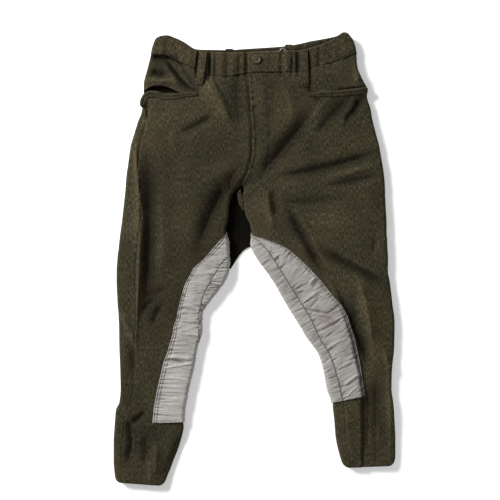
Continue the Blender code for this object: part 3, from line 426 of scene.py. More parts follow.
def mix(a, b, t):
    return a + (b - a) * t


def bell(distance, width):
    """1 in the middle, fading to both sides."""
    return np.exp(-((distance / width) ** 2))


def curve(points):
    """A smooth function through (position, value) pairs that never swings past them."""
    pts = sorted(points)
    xs = np.array([p[0] for p in pts], float)
    vs = np.array([p[1] for p in pts], float)
    width = np.diff(xs)
    rise = np.diff(vs) / width
    slope = np.zeros(len(xs))
    slope[0], slope[-1] = rise[0], rise[-1]
    same = rise[:-1] * rise[1:] > 0
    slope[1:-1][same] = (2 * rise[:-1] * rise[1:])[same] / (rise[:-1] + rise[1:])[same]

    def at(x):
        x = np.clip(x, xs[0], xs[-1])
        i = np.clip(np.searchsorted(xs, x) - 1, 0, len(xs) - 2)
        h = width[i]
        t = (x - xs[i]) / h
        return (
            vs[i] * (1 + 2 * t) * (1 - t) ** 2
            + slope[i] * h * t * (1 - t) ** 2
            + vs[i + 1] * t * t * (3 - 2 * t)
            + slope[i + 1] * h * t * t * (t - 1)
        )

    return at


def column(table, name):
    key = table[0]._fields[0]
    return curve([(getattr(row, key), getattr(row, name)) for row in table])


def seat_seam(y):
    """The seat seam, straight between its corners."""
    corners = SEAT_SEAM[::-1]
    return np.interp(y, [c.y for c in corners], [c.x for c in corners])


fly_edge = column(FLY_EDGE, "x")
right_fork = column(RIGHT_FORK, "x")
left_fork = column(LEFT_FORK, "x")
step_height = column(STEP, "drop")
front_top = column(WAIST, "front_top")
front_seam = column(WAIST, "front_seam")
back_top = column(WAIST, "back_top")
back_seam = column(WAIST, "back_seam")


class Leg:
    """One leg's outline, seams and edges, as functions of the height on the page."""

    def __init__(self, name, sign, table):
        self.name = name
        self.sign = sign
        self.seed = SEEDS[name]
        self.reach = REACH[name]
        self.hem = HEMS[name]
        self.patch_end = PATCH_ENDS[name]
        self.out = column(table, "out")
        self.outline = column(table, "inner")
        self.crown = column(table, "crown")
        self.edge = column(table, "edge")
        self.seam = column(table, "seam")
        self.patch = column(table, "patch")
        self.inseam = column(table, "inseam")
        self.under = column(table, "under")
        self.mouth_up = column(MOUTHS[name], "up")
        self.mouth_low = column(MOUTHS[name], "low")

    def patched(self, start, y):
        """1 where a patch that starts there lies on the leg, 0 beyond it."""
        end = self.reach.patch_end
        return smooth(start + PATCH_FADE, start, y) * smooth(end - PATCH_FADE, end, y)

    def inner(self, y):
        return self.outline(y) + self.sign * (PATCH + GAP) * self.patched(self.reach.front_patch, y)

    def out_centre(self, y):
        return self.out(y) - self.sign * ROLL

    def in_centre(self, y):
        return self.inner(y) + self.sign * ROLL

    def way(self, y):
        """The distance over the top from the outer edge to the inner edge."""
        return 2 * QUARTER + np.abs(self.out_centre(y) - self.in_centre(y))

    def place_of(self, x, y):
        """How far points on the page are from the outer edge, over the top."""
        return QUARTER + np.abs(x - self.out_centre(y))

    def overlap(self, y):
        """Where the left leg's lengthwise overlap ends beside its patch."""
        return self.in_centre(y) + self.patch(y) - QUARTER - STEP_FROM_PATCH

    def slant(self, line, x, y):
        """The height on the page of a slanted line across the leg."""
        t = (x - self.out(y)) / (self.inner(y) - self.out(y))
        return mix(line.outer, line.inner, np.clip(t, 0, 1))

    def hem_line(self, x, y):
        """The hem, with its corners rounded."""
        side = np.minimum(np.abs(x - self.out(y)), np.abs(x - self.inner(y)))
        corner = np.clip(1 - side / HEM_CORNER, 0, 1)
        return self.slant(self.hem, x, y) + HEM_CORNER * (1 - np.sqrt(1 - corner ** 2))


right = Leg("right", -1, RIGHT_SECTIONS)
left = Leg("left", 1, LEFT_SECTIONS)


LATTICE = (61, 67)


def wander(x, y, size, seed):
    """A smooth uneven field between about -1 and 1, with bumps of one size."""
    columns, rows = LATTICE
    lattice = np.random.RandomState(seed).rand(columns, rows) * 2 - 1
    u, v = x / size + 500.3, y / size + 500.7
    i, j = np.floor(u).astype(int), np.floor(v).astype(int)
    s, t = u - i, v - j
    s, t = s * s * (3 - 2 * s), t * t * (3 - 2 * t)
    i0, i1, j0, j1 = i % columns, (i + 1) % columns, j % rows, (j + 1) % rows
    low = mix(lattice[i0, j0], lattice[i1, j0], s)
    high = mix(lattice[i0, j1], lattice[i1, j1], s)
    return mix(low, high, t)


FOLD_STEPS = 10
CREASE = 0.4


def fold_height(fold, x, y):
    """The height that one fold gives the cloth, with a crease along its middle."""
    z = np.zeros(x.shape)
    t = np.linspace(0, 1, FOLD_STEPS + 1)
    line_x = mix(mix(fold.x0, fold.x1, t), mix(fold.x1, fold.x2, t), t)
    line_y = mix(mix(fold.y0, fold.y1, t), mix(fold.y1, fold.y2, t), t)
    reach = 3 * max(fold.left, fold.right)
    near = (x > line_x.min() - reach) & (x < line_x.max() + reach)
    near &= (y > line_y.min() - reach) & (y < line_y.max() + reach)
    if not near.any():
        return z
    px, py = x[near], y[near]
    best = np.full(px.shape, 1e9)
    side = np.zeros(px.shape)
    place = np.zeros(px.shape)
    for i in range(FOLD_STEPS):
        ax, ay = line_x[i], line_y[i]
        dx, dy = line_x[i + 1] - ax, line_y[i + 1] - ay
        along = np.clip(((px - ax) * dx + (py - ay) * dy) / (dx * dx + dy * dy), 0, 1)
        gap = np.hypot(ax + dx * along - px, ay + dy * along - py)
        closer = gap < best
        best = np.where(closer, gap, best)
        side = np.where(closer, dx * (py - ay) - dy * (px - ax), side)
        place = np.where(closer, (i + along) / FOLD_STEPS, place)
    width = np.where(side > 0, fold.left, fold.right)
    fade = smooth(0, 0.25, place) * smooth(1, 0.75, place) * 0.75 + 0.25
    q = best / width
    z[near] = fold.height * fade * ((1 - CREASE) * np.exp(-q * q) + CREASE * np.exp(-2.4 * q))
    return z


def gathers(x, y):
    """The waistband's upright gathers, fading into the cloth above and below."""
    seam = front_seam(x)
    z = np.zeros(x.shape)
    for g in GATHERS:
        lean = g.x + g.lean * (y - seam)
        fade = smooth(seam - g.tail, seam + 4, y) * mix(1.0, 0.55, smooth(20, 44, y - seam))
        z = z + g.height * fade * bell(x - lean, g.width)
    return z


RELIEF = 1.85


def relief(x, y):
    """How far the folds and gathers lift the cloth above its plain form."""
    z = gathers(x, y)
    for fold in FOLDS:
        z = z + RELIEF * fold_height(fold, x, y)
    return z


def rounded(x, first, last, edge, crown, power):
    """The height of a rounded form across the cloth, with its crown halfway between its edges."""
    u = np.clip((x - first) / (last - first), 0, 1)
    return edge + (crown - edge) * (1 - np.abs(2 * u - 1) ** power)


def top(leg, x, y):
    """The height of the top side's outer face."""
    edge = mix(right.edge(y), left.edge(y), 0.5)
    seat = rounded(x, right.out(y), left.out(y), edge, right.crown(y), 3)
    own = rounded(x, leg.out(y), leg.inner(y), leg.edge(y), leg.crown(y), 2.6)
    z = mix(seat, own, smooth(SEAT_END, LEGS_START, y)) + relief(x, y)
    if leg is left:
        beyond = x - leg.overlap(y)
        drop = step_height(y) * smooth(-1.5, 1.5, beyond) * np.exp(-np.maximum(0, beyond) / 30)
        z = z - np.where(y < STEP[0].y, drop, 0)
    return np.maximum(z, LOWEST_TOP)


def under(leg, x, y):
    """The height of the underside's outer face: flat, and raised over what lies beneath it."""
    z = LOOP_RISE * smooth(*BACK_RISES, y)
    q = QUARTER + np.abs(x - leg.in_centre(y))
    along = leg.patched(leg.reach.back_patch, y)
    return z + (PATCH + GAP) * along * smooth(leg.under(y) + PATCH_SLOPE, leg.under(y), q)


def over(leg, g, y, rise=0.0):
    """Points of the outer face, g round the leg from its outer edge over the top."""
    g, y = np.broadcast_arrays(np.asarray(g, float), np.asarray(y, float))
    way = leg.way(y)
    out_x, in_x = leg.out_centre(y), leg.in_centre(y)
    outer = g < QUARTER
    rolled = outer | (g > way - QUARTER)
    centre = np.where(outer, out_x, in_x)
    away = np.where(outer, leg.sign, -leg.sign)
    flat_x = out_x - leg.sign * (g - QUARTER)
    high = top(leg, np.where(rolled, centre, flat_x), y)
    turn = math.pi / 2 + np.where(outer, g, way - g) / ROLL
    beneath = rolled & (turn < 0)
    x = np.where(rolled, centre + away * ROLL * np.sin(turn), flat_x)
    x = np.where(beneath, centre + away * ROLL * turn, x)
    floor = np.where(outer, 0.0, rise)
    low = np.maximum(floor, under(leg, centre, y))
    z = np.where(rolled, low + (high - low) / 2 * (1 - np.cos(turn)), high)
    z = np.where(beneath, np.maximum(floor, under(leg, x, y)), z)
    return np.stack([x, y, z], axis=-1)


ROLL_WEIGHT = 2.5
FLOOR_WEIGHT = 0.6


def place(start, stop, first_roll, last_roll, share):
    """The place at a share of the way from start to stop, with points closer on the rolls."""
    a = ROLL_WEIGHT * np.maximum(0, first_roll - start)
    middle = np.maximum(start, first_roll)
    b = np.maximum(0, np.minimum(last_roll, stop) - middle)
    c = ROLL_WEIGHT * np.maximum(0, stop - np.maximum(last_roll, start))
    w = share * (a + b + c)
    g = np.where(w < a, start + w / ROLL_WEIGHT, middle + (w - a))
    return np.where(w > a + b, np.maximum(last_roll, start) + (w - a - b) / ROLL_WEIGHT, g)


def front_end(leg, y):
    """Where the front stops above the fork: at the fly's edge, or under it."""
    return fly_edge(y) + (FLY_LAP if leg is right else 0.0)


def fly_drop(leg, x, y, depth=FLY_DROP):
    """How far the right front sinks to pass under the left one."""
    if leg is left:
        return np.zeros(x.shape)
    return depth * smooth(*SINKS_ACROSS, x - fly_edge(y)) * smooth(*SINKS_UP, y)


def front_span(leg, y):
    """The front's first and last place round the leg, with the leg closed and with it flat."""
    start = leg.seam(y) + GAP / 2
    way = leg.way(y)
    stop = way - leg.inseam(y) - np.where(y < leg.reach.fork, GAP / 2, 0.0)
    flat_stop = QUARTER + np.abs(front_end(leg, y) - leg.out_centre(y))
    return start, stop, way, flat_stop


def front_point(leg, share, y):
    """Points of a front at shares of its way round the leg, from the outseam to its other edge."""
    share, y = np.broadcast_arrays(share, y)
    start, stop, way, flat_stop = front_span(leg, y)
    rise = WEB_RISE * smooth(leg.reach.fork - WEB_SLOPE, leg.reach.fork, y)
    shut = smooth(*FRONT_CLOSES[leg.name], y)[..., None]
    closed = over(leg, place(start, stop, QUARTER, way - QUARTER, share), y, rise)
    g = place(start, flat_stop, QUARTER, flat_stop, share)
    flat = over(leg, np.minimum(g, QUARTER), y)
    x = leg.out_centre(y) - leg.sign * (g - QUARTER)
    flat[..., 0] = np.where(g > QUARTER, x, flat[..., 0])
    flat[..., 2] = np.where(g > QUARTER, top(leg, x, y) - fly_drop(leg, x, y), flat[..., 2])
    return mix(flat, closed, shut)


def settle(point, height, y):
    """Points whose heights on the page follow from where they are across it."""
    for _ in range(4):
        p = point(y)
        y = height(p[..., 0], y)
    return point(y)


def ring_place(leg, share, y):
    """The back's places, from the outseam down, under the leg and up to the inseam."""
    share, y = np.broadcast_arrays(share, y)
    fork = leg.reach.fork
    way = leg.way(y)
    start = leg.seam(y) - GAP / 2
    ease = smooth(leg.reach.back_patch, leg.reach.back_patch + 8, y)
    stop = np.where(y < fork, way - leg.inseam(y) + GAP / 2 + ease, way + QUARTER)
    first = start + QUARTER
    floor = np.abs(leg.out_centre(y) - leg.in_centre(y))
    last = way + QUARTER - stop
    a, b, c = ROLL_WEIGHT * first, FLOOR_WEIGHT * floor, ROLL_WEIGHT * last
    w = share * (a + b + c)
    far = np.where(w < a, w / ROLL_WEIGHT, first + (w - a) / FLOOR_WEIGHT)
    far = np.where(w > a + b, first + floor + (w - a - b) / ROLL_WEIGHT, far)
    return np.where(far < first + floor / 2, start - far, stop + (first + floor + last - far))


def back_point(leg, share, y):
    """Points of a back at shares of its way under the leg."""
    return over(leg, ring_place(leg, share, y), y)


# Meshes


class Cloth:
    """Points and quads of an open cloth, with its own flat coordinates in millimetres."""

    def __init__(self):
        self.points = np.zeros((0, 3))
        self.flat = np.zeros((0, 2))
        self.faces = np.zeros((0, 4), int)
        self.height = 0.0

    def add(self, grid, flat, keep=None):
        """Adds a grid. keep holds known point numbers, or -1 where the grid's own are new."""
        rows, columns = grid.shape[:2]
        known = np.full((rows, columns), -1) if keep is None else keep
        fresh = known < 0
        numbers = known.copy()
        numbers[fresh] = len(self.points) + np.arange(fresh.sum())
        self.points = np.vstack([self.points, grid[fresh]])
        self.flat = np.vstack([self.flat, flat[fresh]])
        quads = np.stack(
            [numbers[:-1, :-1], numbers[1:, :-1], numbers[1:, 1:], numbers[:-1, 1:]], axis=-1
        )
        self.faces = np.vstack([self.faces, quads.reshape(-1, 4)])
        return numbers

    def normals(self):
        p = self.points
        corner = [p[self.faces[:, k]] for k in range(4)]
        n = np.cross(corner[2] - corner[0], corner[3] - corner[1])
        total = np.zeros_like(p)
        for k in range(4):
            for axis in range(3):
                total[:, axis] += np.bincount(self.faces[:, k], n[:, axis], len(p))
        return total / np.maximum(np.linalg.norm(total, axis=1, keepdims=True), 1e-9)

    def face(self, up):
        """Turns the faces so that they look up, or down."""
        if self.normals()[:, 2].mean() * (1 if up else -1) < 0:
            self.faces = self.faces[:, ::-1]

    def push(self, height):
        """Moves the cloth along its normals, and keeps it above the surface it lies on."""
        self.height = height
        self.points = self.points + self.normals() * np.reshape(height, (-1, 1))
        self.points[:, 2] = np.maximum(self.points[:, 2], 0.0)

    def raised(self, height):
        """The cloth's outer face, which stitches lie on."""
        face = Cloth()
        face.points = self.points + self.normals() * height[:, None]
        face.faces = self.faces
        return face

    def tree(self):
        return BVHTree.FromPolygons(self.points.tolist(), self.faces.tolist())


def flat_of(grid):
    """The cloth's own coordinates: distances along the rows, in line with the page, and heights."""
    across = np.linalg.norm(np.diff(grid, axis=1), axis=-1)
    u = np.concatenate([np.zeros((grid.shape[0], 1)), np.cumsum(across, axis=1)], axis=1)
    middle = grid.shape[1] // 2
    x = grid[..., 0]
    way = 1 if (x[:, -1] - x[:, 0]).mean() > 0 else -1
    u = way * (u - u[:, middle: middle + 1]) + x[:, middle: middle + 1]
    return np.stack([u, grid[..., 1]], axis=-1)


def mesh_object(name, points, faces, flat, material, tone=None):
    data = bpy.data.meshes.new(name)
    data.vertices.add(len(points))
    data.vertices.foreach_set("co", (points * MM).astype(np.float32).ravel())
    data.loops.add(faces.size)
    data.loops.foreach_set("vertex_index", faces.astype(np.int32).ravel())
    data.polygons.add(len(faces))
    width = faces.shape[1]
    data.polygons.foreach_set("loop_start", np.arange(0, faces.size, width, dtype=np.int32))
    data.update(calc_edges=True)
    layer = data.uv_layers.new(name="Cloth")
    layer.data.foreach_set("uv", (flat[faces.ravel()] * MM).astype(np.float32).ravel())
    shade = np.ones(len(points)) if tone is None else tone
    layer = data.attributes.new("Tone", "FLOAT", "POINT")
    layer.data.foreach_set("value", shade.astype(np.float32))
    data.materials.append(material)
    data.shade_smooth()
    thing = bpy.data.objects.new(name, data)
    bpy.context.scene.collection.objects.link(thing)
    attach(thing, "root")
    return thing


def shell(name, cloth, outer, inner, material, lip=0.1, tone=None):
    """A wall between two distances from a cloth, with a rounded edge that stands out by lip."""
    tone = np.ones(len(cloth.points)) if tone is None else tone
    n = cloth.normals()
    used = np.unique(cloth.faces)
    number = np.full(len(cloth.points), -1)
    number[used] = np.arange(len(used))
    faces = number[cloth.faces]
    count = len(used)
    base, n, flat, tone = cloth.points[used], n[used], cloth.flat[used], tone[used]
    out = base + n * np.reshape(np.broadcast_to(outer, (len(cloth.points),))[used], (-1, 1))
    inn = base + n * np.reshape(np.broadcast_to(inner, (len(cloth.points),))[used], (-1, 1))
    a, b = faces.ravel(), np.roll(faces, -1, axis=1).ravel()
    free = ~np.isin(b * count + a, a * count + b)
    a, b = a[free], b[free]
    along = out[b] - out[a]
    outward = np.cross(along, n[a])
    outward /= np.maximum(np.linalg.norm(outward, axis=1, keepdims=True), 1e-9)
    total = np.zeros((count, 3))
    for ends in (a, b):
        np.add.at(total, ends, outward)
    rim = np.unique(a)
    spot = np.full(count, -1)
    spot[rim] = 2 * count + np.arange(len(rim))
    reach = total[rim] / np.maximum(np.linalg.norm(total[rim], axis=1, keepdims=True), 1e-9)
    middle = (out[rim] + inn[rim]) / 2 + reach * lip
    sides = np.stack([b, a, spot[a], spot[b]], axis=-1)
    more = np.stack([spot[b], spot[a], a + count, b + count], axis=-1)
    points = np.vstack([out, inn, middle])
    points[:, 2] = np.maximum(points[:, 2], 0.0)
    quads = np.vstack([faces, faces[:, ::-1] + count, sides, more])
    flat = np.vstack([flat, flat, flat[rim]])
    tone = np.concatenate([tone, tone, tone[rim]])
    return mesh_object(name, points, quads, flat, material, tone)


sewn_on = {}


def dress(name, cloth, outer, inner, material, lip=0.1, tone=None):
    """A shell that takes the place of one piece of the model."""
    shell(name + "_cloth", cloth, outer, inner, material, lip, tone)
    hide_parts(name)


def sheet_of(grid, up=True):
    """One grid of points as a cloth that looks up, or down."""
    cloth = Cloth()
    cloth.add(grid, flat_of(grid))
    cloth.face(up)
    return cloth


# Materials


def nodes_of(name):
    made = bpy.data.materials.new(name)
    made.use_nodes = True
    tree = made.node_tree
    shader = tree.nodes["Principled BSDF"]
    return made, tree, shader


def add_node(tree, kind, **settings):
    node = tree.nodes.new(kind)
    for key, value in settings.items():
        setattr(node, key, value)
    return node


def noise(tree, source, scale, detail, stretch=(1, 1, 1)):
    """Noise over a coordinate, longer along the axes with a small stretch."""
    mapping = add_node(tree, "ShaderNodeMapping")
    mapping.inputs["Scale"].default_value = stretch
    tree.links.new(source, mapping.inputs["Vector"])
    node = add_node(tree, "ShaderNodeTexNoise")
    node.inputs["Scale"].default_value = scale
    node.inputs["Detail"].default_value = detail
    node.inputs["Roughness"].default_value = 0.6
    tree.links.new(mapping.outputs["Vector"], node.inputs["Vector"])
    return node.outputs["Fac"]


def ramp(tree, source, stops):
    node = add_node(tree, "ShaderNodeValToRGB")
    while len(node.color_ramp.elements) < len(stops):
        node.color_ramp.elements.new(0.5)
    for element, (position, colour) in zip(node.color_ramp.elements, stops):
        element.position = position
        element.color = (*colour, 1)
    tree.links.new(source, node.inputs["Fac"])
    return node.outputs["Color"]


def feed(tree, values):
    """Links or sets each (socket, value) pair."""
    for socket, value in values:
        if isinstance(value, bpy.types.NodeSocket):
            tree.links.new(value, socket)
        elif isinstance(value, tuple):
            socket.default_value = (*value, 1)
        else:
            socket.default_value = value


def blend(tree, kind, factor, a, b):
    node = add_node(tree, "ShaderNodeMix", data_type="RGBA", blend_type=kind)
    feed(tree, ((node.inputs[0], factor), (node.inputs[6], a), (node.inputs[7], b)))
    return node.outputs[2]


def calculate(tree, kind, a, b):
    node = add_node(tree, "ShaderNodeMath", operation=kind)
    feed(tree, ((node.inputs[0], a), (node.inputs[1], b)))
    return node.outputs[0]


def weighted(tree, *parts):
    """The sum of values times their weights."""
    total = None
    for value, weight in parts:
        value = value if weight == 1 else calculate(tree, "MULTIPLY", value, weight)
        total = value if total is None else calculate(tree, "ADD", total, value)
    return total


def bump(tree, shader, height, strength, distance):
    node = add_node(tree, "ShaderNodeBump")
    node.inputs["Strength"].default_value = strength
    node.inputs["Distance"].default_value = distance
    tree.links.new(height, node.inputs["Height"])
    tree.links.new(node.outputs["Normal"], shader.inputs["Normal"])


def mesh_tone(tree):
    return add_node(tree, "ShaderNodeAttribute", attribute_name="Tone").outputs["Fac"]


def toned(tree, colour):
    """The colour times the mesh's own Tone, which carries painted light and shade among other changes of
    tone.
    """
    tone = mesh_tone(tree)
    level = add_node(tree, "ShaderNodeCombineColor")
    for socket in ("Red", "Green", "Blue"):
        tree.links.new(tone, level.inputs[socket])
    return blend(tree, "MULTIPLY", 1.0, colour, level.outputs["Color"])


def cloth_place(tree):
    return add_node(tree, "ShaderNodeUVMap", uv_map="Cloth").outputs["UV"]


def object_place(tree):
    return add_node(tree, "ShaderNodeTexCoord").outputs["Object"]


def grey(level):
    return (level, level, level)


def greys(tree, source, low, low_level, high, high_level):
    """A ramp from one level of grey to another between two values of its source."""
    return ramp(tree, source, [(low, grey(low_level)), (high, grey(high_level))])


def set_shader(tree, shader, colour, roughness, specular, **more):
    """The shader's colour and shine; a further value's name has _ for each space."""
    values = {"Base_Color": colour, "Roughness": roughness, "Specular_IOR_Level": specular, **more}
    feed(tree, [(shader.inputs[name.replace("_", " ")], value) for name, value in values.items()])


# The hue of the painted highlight on ridges, where the mesh's Tone is above 1
HIGHLIGHT_HUE = (1.05, 1.0, 0.94)


def wool_cloth(name, dark, middle, light, brown, shade=1.0):
    """Heathered wool twill: upright ribs, streaked mottling, brown blotches, lint and soft nap, times
    the mesh's Tone with its painted light and shade.
    """
    made, tree, shader = nodes_of(name)
    uv = cloth_place(tree)
    place3 = object_place(tree)
    fine = noise(tree, uv, 1100, 3, (1.0, 0.3, 1))
    coarse = noise(tree, uv, 430, 3, (1.0, 0.3, 1))
    heather = weighted(tree, (fine, 0.45), (coarse, 0.55))
    colour = ramp(tree, heather, [(0.38, dark), (0.5, middle), (0.64, light)])
    flecks = greys(tree, noise(tree, uv, 2100, 2, (1.0, 0.5, 1)), 0.60, 0, 0.74, 1)
    colour = blend(tree, "MIX", calculate(tree, "MULTIPLY", flecks, 0.35), colour, light)
    blotches = greys(tree, noise(tree, place3, 22, 4, (1.0, 0.7, 1)), 0.46, 0, 0.68, 1)
    colour = blend(tree, "MIX", calculate(tree, "MULTIPLY", blotches, 0.45), colour, brown)
    wide = greys(tree, noise(tree, place3, 7, 3), 0.3, 0.80, 0.7, 1.12)
    colour = blend(tree, "MULTIPLY", 1.0, colour, wide)
    if shade != 1.0:
        colour = blend(tree, "MULTIPLY", 1.0, colour, grey(shade))
    # Painted highlight: a warmer hue where the mesh's Tone is above 1, on raised folds
    painted_highlight = calculate(tree, "SUBTRACT", mesh_tone(tree), 1.0)
    colour = blend(tree, "MULTIPLY", greys(tree, painted_highlight, 0.0, 0, 0.3, 1), colour, HIGHLIGHT_HUE)
    set_shader(
        tree, shader, toned(tree, colour), 0.95, 0.04,
        Sheen_Weight=0.05, Sheen_Roughness=0.6, Sheen_Tint=(0.62, 0.55, 0.40),
    )
    ribs = add_node(tree, "ShaderNodeTexWave", wave_type="BANDS", bands_direction="DIAGONAL")
    ribs.inputs["Scale"].default_value = 260
    ribs.inputs["Distortion"].default_value = 1.2
    ribs.inputs["Detail"].default_value = 2
    turned_uv = add_node(tree, "ShaderNodeMapping")
    turned_uv.inputs["Scale"].default_value = (1.0, 0.35, 1)
    tree.links.new(uv, turned_uv.inputs["Vector"])
    tree.links.new(turned_uv.outputs["Vector"], ribs.inputs["Vector"])
    nap = noise(tree, uv, 320, 4)
    height = weighted(tree, (ribs.outputs["Fac"], 0.35), (heather, 1), (nap, 0.9))
    bump(tree, shader, height, 0.55, 0.0007)
    return made


PALE = (0.315, 0.302, 0.283)
MEAN = (0.262, 0.250, 0.234)
DEEP = (0.195, 0.186, 0.172)
SOIL = (0.78, 0.74, 0.68)
STAIN = (0.66, 0.61, 0.56)
WHITE = (1, 1, 1)

# Tan stains on the left patch: centre and radius in metres
STAINS = ((0.142, -0.116, 0.030), (0.152, -0.128, 0.020))


def patch_material(name):
    """Pale brushed cotton, streaked across the leg, with small worn stains."""
    made, tree, shader = nodes_of(name)
    uv = cloth_place(tree)
    place3 = object_place(tree)
    streak = noise(tree, uv, 560, 4, (0.22, 1.0, 1))
    nap = noise(tree, uv, 1500, 3)
    colour = ramp(tree, streak, [(0.30, DEEP), (0.46, MEAN), (0.70, PALE)])
    colour = blend(tree, "MULTIPLY", 1.0, colour, greys(tree, nap, 0.25, 0.82, 0.75, 1.1))
    soil = ramp(tree, noise(tree, place3, 18, 4), [(0.52, WHITE), (0.74, SOIL)])
    colour = blend(tree, "MULTIPLY", 0.8, colour, soil)
    for x, y, radius in STAINS:
        spot = add_node(tree, "ShaderNodeVectorMath", operation="DISTANCE")
        spot.inputs[1].default_value = (x, y, 0.02)
        tree.links.new(place3, spot.inputs[0])
        ragged = (noise(tree, place3, 120, 3), radius * 1.2)
        reach = weighted(tree, (spot.outputs["Value"], 1), ragged)
        share = calculate(tree, "DIVIDE", reach, radius * 1.6)
        stain = ramp(tree, share, [(0.30, STAIN), (1.0, WHITE)])
        colour = blend(tree, "MULTIPLY", 0.85, colour, stain)
    colour = toned(tree, colour)
    set_shader(tree, shader, colour, 0.92, 0.2, Sheen_Weight=0.15, Sheen_Roughness=0.5)
    bump(tree, shader, weighted(tree, (streak, 1.2), (nap, 0.5)), 0.5, 0.0009)
    return made


def thread_material(name, colour):
    """Twisted thread, a little uneven in colour."""
    made, tree, shader = nodes_of(name)
    place3 = object_place(tree)
    uneven = greys(tree, noise(tree, place3, 700, 2), 0.3, 0.7, 0.7, 1.2)
    set_shader(tree, shader, blend(tree, "MULTIPLY", 1.0, colour, uneven), 0.7, 0.3)
    twist = add_node(tree, "ShaderNodeTexWave", bands_direction="DIAGONAL")
    twist.inputs["Scale"].default_value = 900
    tree.links.new(place3, twist.inputs["Vector"])
    bump(tree, shader, twist.outputs["Fac"], 0.4, 0.0001)
    return made


HORN = [(0.3, (0.018, 0.016, 0.008)), (0.55, (0.040, 0.036, 0.019)), (0.8, (0.070, 0.062, 0.034))]
METAL = [(0.35, (0.10, 0.098, 0.09)), (0.7, (0.22, 0.215, 0.20))]


def button_material(name):
    """Dark dull horn with a drawn-out grain."""
    made, tree, shader = nodes_of(name)
    place3 = object_place(tree)
    grain = noise(tree, place3, 160, 5, (1, 0.4, 1))
    rough = greys(tree, noise(tree, place3, 500, 3), 0.3, 0.5, 0.7, 0.66)
    set_shader(tree, shader, ramp(tree, grain, HORN), rough, 0.22)
    bump(tree, shader, grain, 0.15, 0.0003)
    return made


def metal_material(name):
    """Dulled light metal."""
    made, tree, shader = nodes_of(name)
    dull = noise(tree, object_place(tree), 260, 4)
    rough = greys(tree, dull, 0.3, 0.55, 0.7, 0.75)
    set_shader(tree, shader, ramp(tree, dull, METAL), rough, 0.5, Metallic=0.7)
    bump(tree, shader, dull, 0.1, 0.0002)
    return made


DARK = (0.0072, 0.0064, 0.0031)
MIDDLE = (0.0245, 0.0222, 0.0124)
SHADED_TRIM_MIDDLE = (0.0168, 0.0155, 0.0088)
LIGHT = (0.068, 0.062, 0.036)
BROWN = (0.039, 0.027, 0.0150)

wool = wool_cloth("olive_wool", DARK, MIDDLE, LIGHT, BROWN)
# The bands, welts and loops take a darker copy of the wool: painted shade
wool_trim = wool_cloth("olive_wool_trim", DARK, SHADED_TRIM_MIDDLE, LIGHT, BROWN)
# The back band's inside takes a lightened copy of the wool: painted light where it lies in the front
# band's shade
inside_wool_lightened = wool_cloth("olive_wool_inside", DARK, MIDDLE, LIGHT, BROWN, 1.4)
# The pocket bags take a nearly black copy of the wool: painted shade inside the pocket mouths
pocket_bag_shaded_wool = wool_cloth("dark_pocket_lining", DARK, MIDDLE, LIGHT, BROWN, 0.12)
patch_cotton = patch_material("pale_patch_cotton")
olive_thread = thread_material("olive_thread", (0.020, 0.018, 0.011))
grey_thread = thread_material("grey_thread", (0.078, 0.073, 0.063))
horn = button_material("horn_button")
metal = metal_material("dull_metal")


# Panels

# Steps across and along the panels; FRONT_HIGH is above the pocket mouth and FRONT_LOW below it
FRONT_COLUMNS = 104
FRONT_HIGH = 26
FRONT_LOW = 250
BACK_COLUMNS = 84
BACK_ROWS = 190
WEB_COLUMNS = 12
WEB_STEP = 3.5
BAND_ROWS = 14
LAP_COLUMNS = 14

# The share of the back over which its waist turns from the front's line to its own, the gap under
# which a pocket mouth is sewn shut, and where the inside of the back band is darker in strips
SIDE_BLEND = 0.14
MOUTH_SHUT = 0.12
BAND_DARK_STRIPS = (-47, 88, 134, 160)


def crumple(g, y, seed):
    """Low unevenness all over the cloth, the same on both sides of a seam."""
    low = 0.9 * wander(g, y, 52, seed) + 0.4 * wander(g, y, 24, seed + 1)
    return low + 0.6 * wander(g * 1.6, y * 0.7, 40, seed + 9)


def seam_dip(distance, along, seed, depth=0.9, width=2.2):
    """The groove beside a seam, with small uneven puckers across it."""
    pucker = wander(along, distance * 0.3, 4.6, seed) * 0.55
    return -depth * bell(distance, width) + pucker * bell(distance, 3.2 * width)


def seam_ease(y):
    """Seams are pressed flatter near the hems."""
    return mix(0.35, 1.0, smooth(-300, -180, y))


def painted_shading(cloth):
    """Painted light and shade: paler where folds stand up, darker in the hollows between them and in
    seam grooves, with the painted patches of TONES and the painted lines of SHADOWS.
    """
    x, y, z = cloth.points.T
    lift = relief(x, y)
    # Painted highlight on raised folds and bumps, painted shade in troughs and seam grooves
    light_and_shade = 1 + np.where(lift < 0, 0.66, 0.42) * np.tanh(lift / 4.5)
    light_and_shade = light_and_shade * (1 + 0.32 * np.tanh(cloth.height / 1.4))
    for t in TONES:
        light_and_shade = light_and_shade * (1 + (t.shade - 1) * bell(x - t.x, t.wide) * bell(y - t.y, t.high))
    for s in SHADOWS:
        along = np.array([s.x1 - s.x0, s.y1 - s.y0])
        gap = cloth.points[:, :2] - (s.x0, s.y0)
        share = np.clip(gap @ along / (along @ along), 0, 1)
        far = np.linalg.norm(gap - share[:, None] * along, axis=1)
        light_and_shade = light_and_shade * (1 + (s.shade - 1) * bell(far, s.width))
    return mix(1.0, light_and_shade, smooth(5, 9, z))


def band_edge_highlights(cloth):
    """Painted highlight along a front band's upper edge and on the ridge above its seam."""
    x, y, _ = cloth.points.T
    return 1 + 0.75 * bell(front_top(x) - y, 1.9) + 0.3 * bell(y - front_seam(x) - 2.6, 1.4)


def band_shade(cloth):
    """The inside of the back band: painted shade just above the front band's upper edge, and darker
    strips.
    """
    x, y, _ = cloth.points.T
    shade = 0.8 - 0.72 * bell(np.maximum(y - front_top(x), 0), 4.6)
    for strip in BAND_DARK_STRIPS:
        shade = shade * (1 - 0.5 * bell(x - strip, 5))
    return shade * (1 + 0.18 * wander(x, y, 8, 83))


